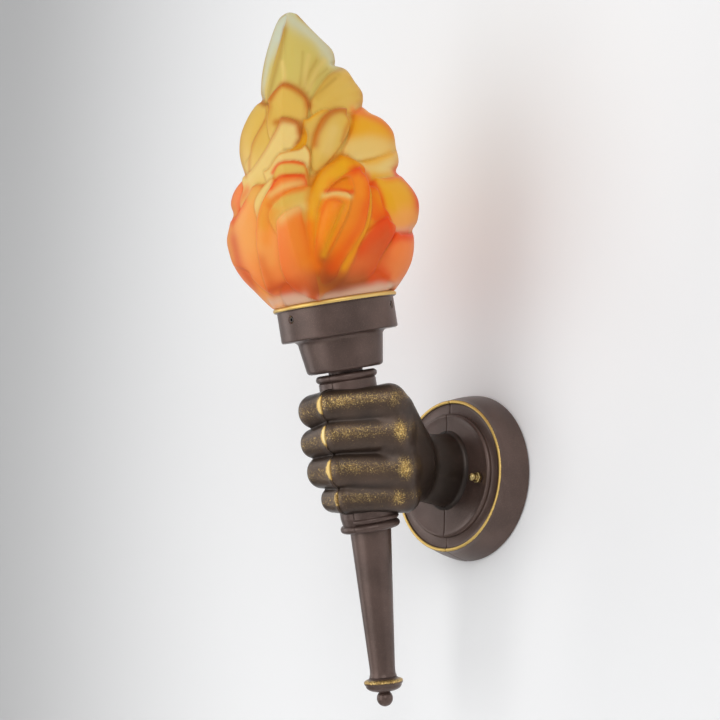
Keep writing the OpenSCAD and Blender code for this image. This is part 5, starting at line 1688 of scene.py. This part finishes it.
def backdrop(name, corners):
    """A big plain sheet, darker to the left by painted shade, clear from behind and where the plate covers
    it.
    """
    mesh = bpy.data.meshes.new(name)
    mesh.from_pydata(corners, [], [tuple(range(len(corners)))])
    n = Nodes(name)
    sideways = n.add("SeparateXYZ", {"Vector": n.objects}).outputs["X"]
    # painted shade: the sheet's colour falls from light grey to darker grey towards the left
    colour = n.mix(n.step(sideways, -0.80, -0.16), (0.45, 0.45, 0.45), (0.95, 0.95, 0.95))
    n.plug(colour=colour, rough=0.9, specular=0.0)
    from_centre = n.add("VectorMath", {0: n.objects}, operation="LENGTH").outputs["Value"]
    cable_hole = n.math("LESS_THAN", from_centre, 0.95 * PLATE_R * MM)
    clear = n.math("MAXIMUM", n.add("NewGeometry").outputs["Backfacing"], cable_hole)
    both = n.add("MixShader", {0: clear, 1: n.shader.outputs[0], 2: n.add("BsdfTransparent").outputs[0]})
    n.tree.links.new(both.outputs[0], n.tree.nodes["Material Output"].inputs["Surface"])
    mesh.materials.append(n.material)
    put(name, mesh)


backdrop("studio_wall", [
    (ROOM_LEFT, BEHIND, FLOOR_Z),
    (ROOM_RIGHT, BEHIND, FLOOR_Z),
    (ROOM_RIGHT, BEHIND, ROOM_TOP),
    (ROOM_LEFT, BEHIND, ROOM_TOP),
])
backdrop("studio_floor", [
    (ROOM_LEFT, BEHIND, FLOOR_Z),
    (ROOM_LEFT, ROOM_FRONT, FLOOR_Z),
    (ROOM_RIGHT, ROOM_FRONT, FLOOR_Z),
    (ROOM_RIGHT, BEHIND, FLOOR_Z),
])


def soft_lamp(name, place, size, watts):
    """A rectangular lamp that looks at the middle of the torch."""
    data = bpy.data.lights.new(name, "AREA")
    data.shape = "RECTANGLE"
    data.size, data.size_y = size
    data.energy = watts
    lamp = put(name, data)
    lamp.location = place
    to_torch = Vector((0, -0.1, 0.07)) - Vector(place)
    lamp.rotation_euler = to_torch.to_track_quat("-Z", "Y").to_euler()


soft_lamp("window", (-0.42, -1.70, 0.0), (1.3, 1.6), 10.8)
soft_lamp("left_strip", (-1.42, -0.75, 0.05), (0.5, 1.6), 4.5)
soft_lamp("fill", (1.6, -1.3, 0.9), (1.2, 1.2), 10.5)

world = bpy.data.worlds.new("studio")
world.use_nodes = True
sky = world.node_tree.nodes["Background"].inputs
sky["Color"].default_value = (0.97, 0.98, 1.0, 1)
sky["Strength"].default_value = 0.52
bpy.context.scene.world = world

# The camera was fitted to the circles of the plate, the collars and the cup.
PICTURE = 720           # picture points across
FOCAL = 1726.54         # focal length in picture points
SENSOR = 36
CAMERA_PLACE = (909.49, -861.33, -117.29)
CAMERA_RIGHT = (0.64181, 0.76617, 0.03275)
CAMERA_UP = (0.10124, -0.12699, 0.98672)
CAMERA_BACK = (0.76015, -0.62998, -0.15907)

camera_data = bpy.data.cameras.new("camera")
camera_data.sensor_width = SENSOR
camera_data.lens = SENSOR * FOCAL / PICTURE
camera = put("camera", camera_data)
pose = Matrix((CAMERA_RIGHT, CAMERA_UP, CAMERA_BACK)).transposed().to_4x4()
pose.translation = Vector(CAMERA_PLACE) * MM
camera.matrix_world = pose
bpy.context.scene.camera = camera
bpy.context.scene.view_settings.view_transform = "Standard"
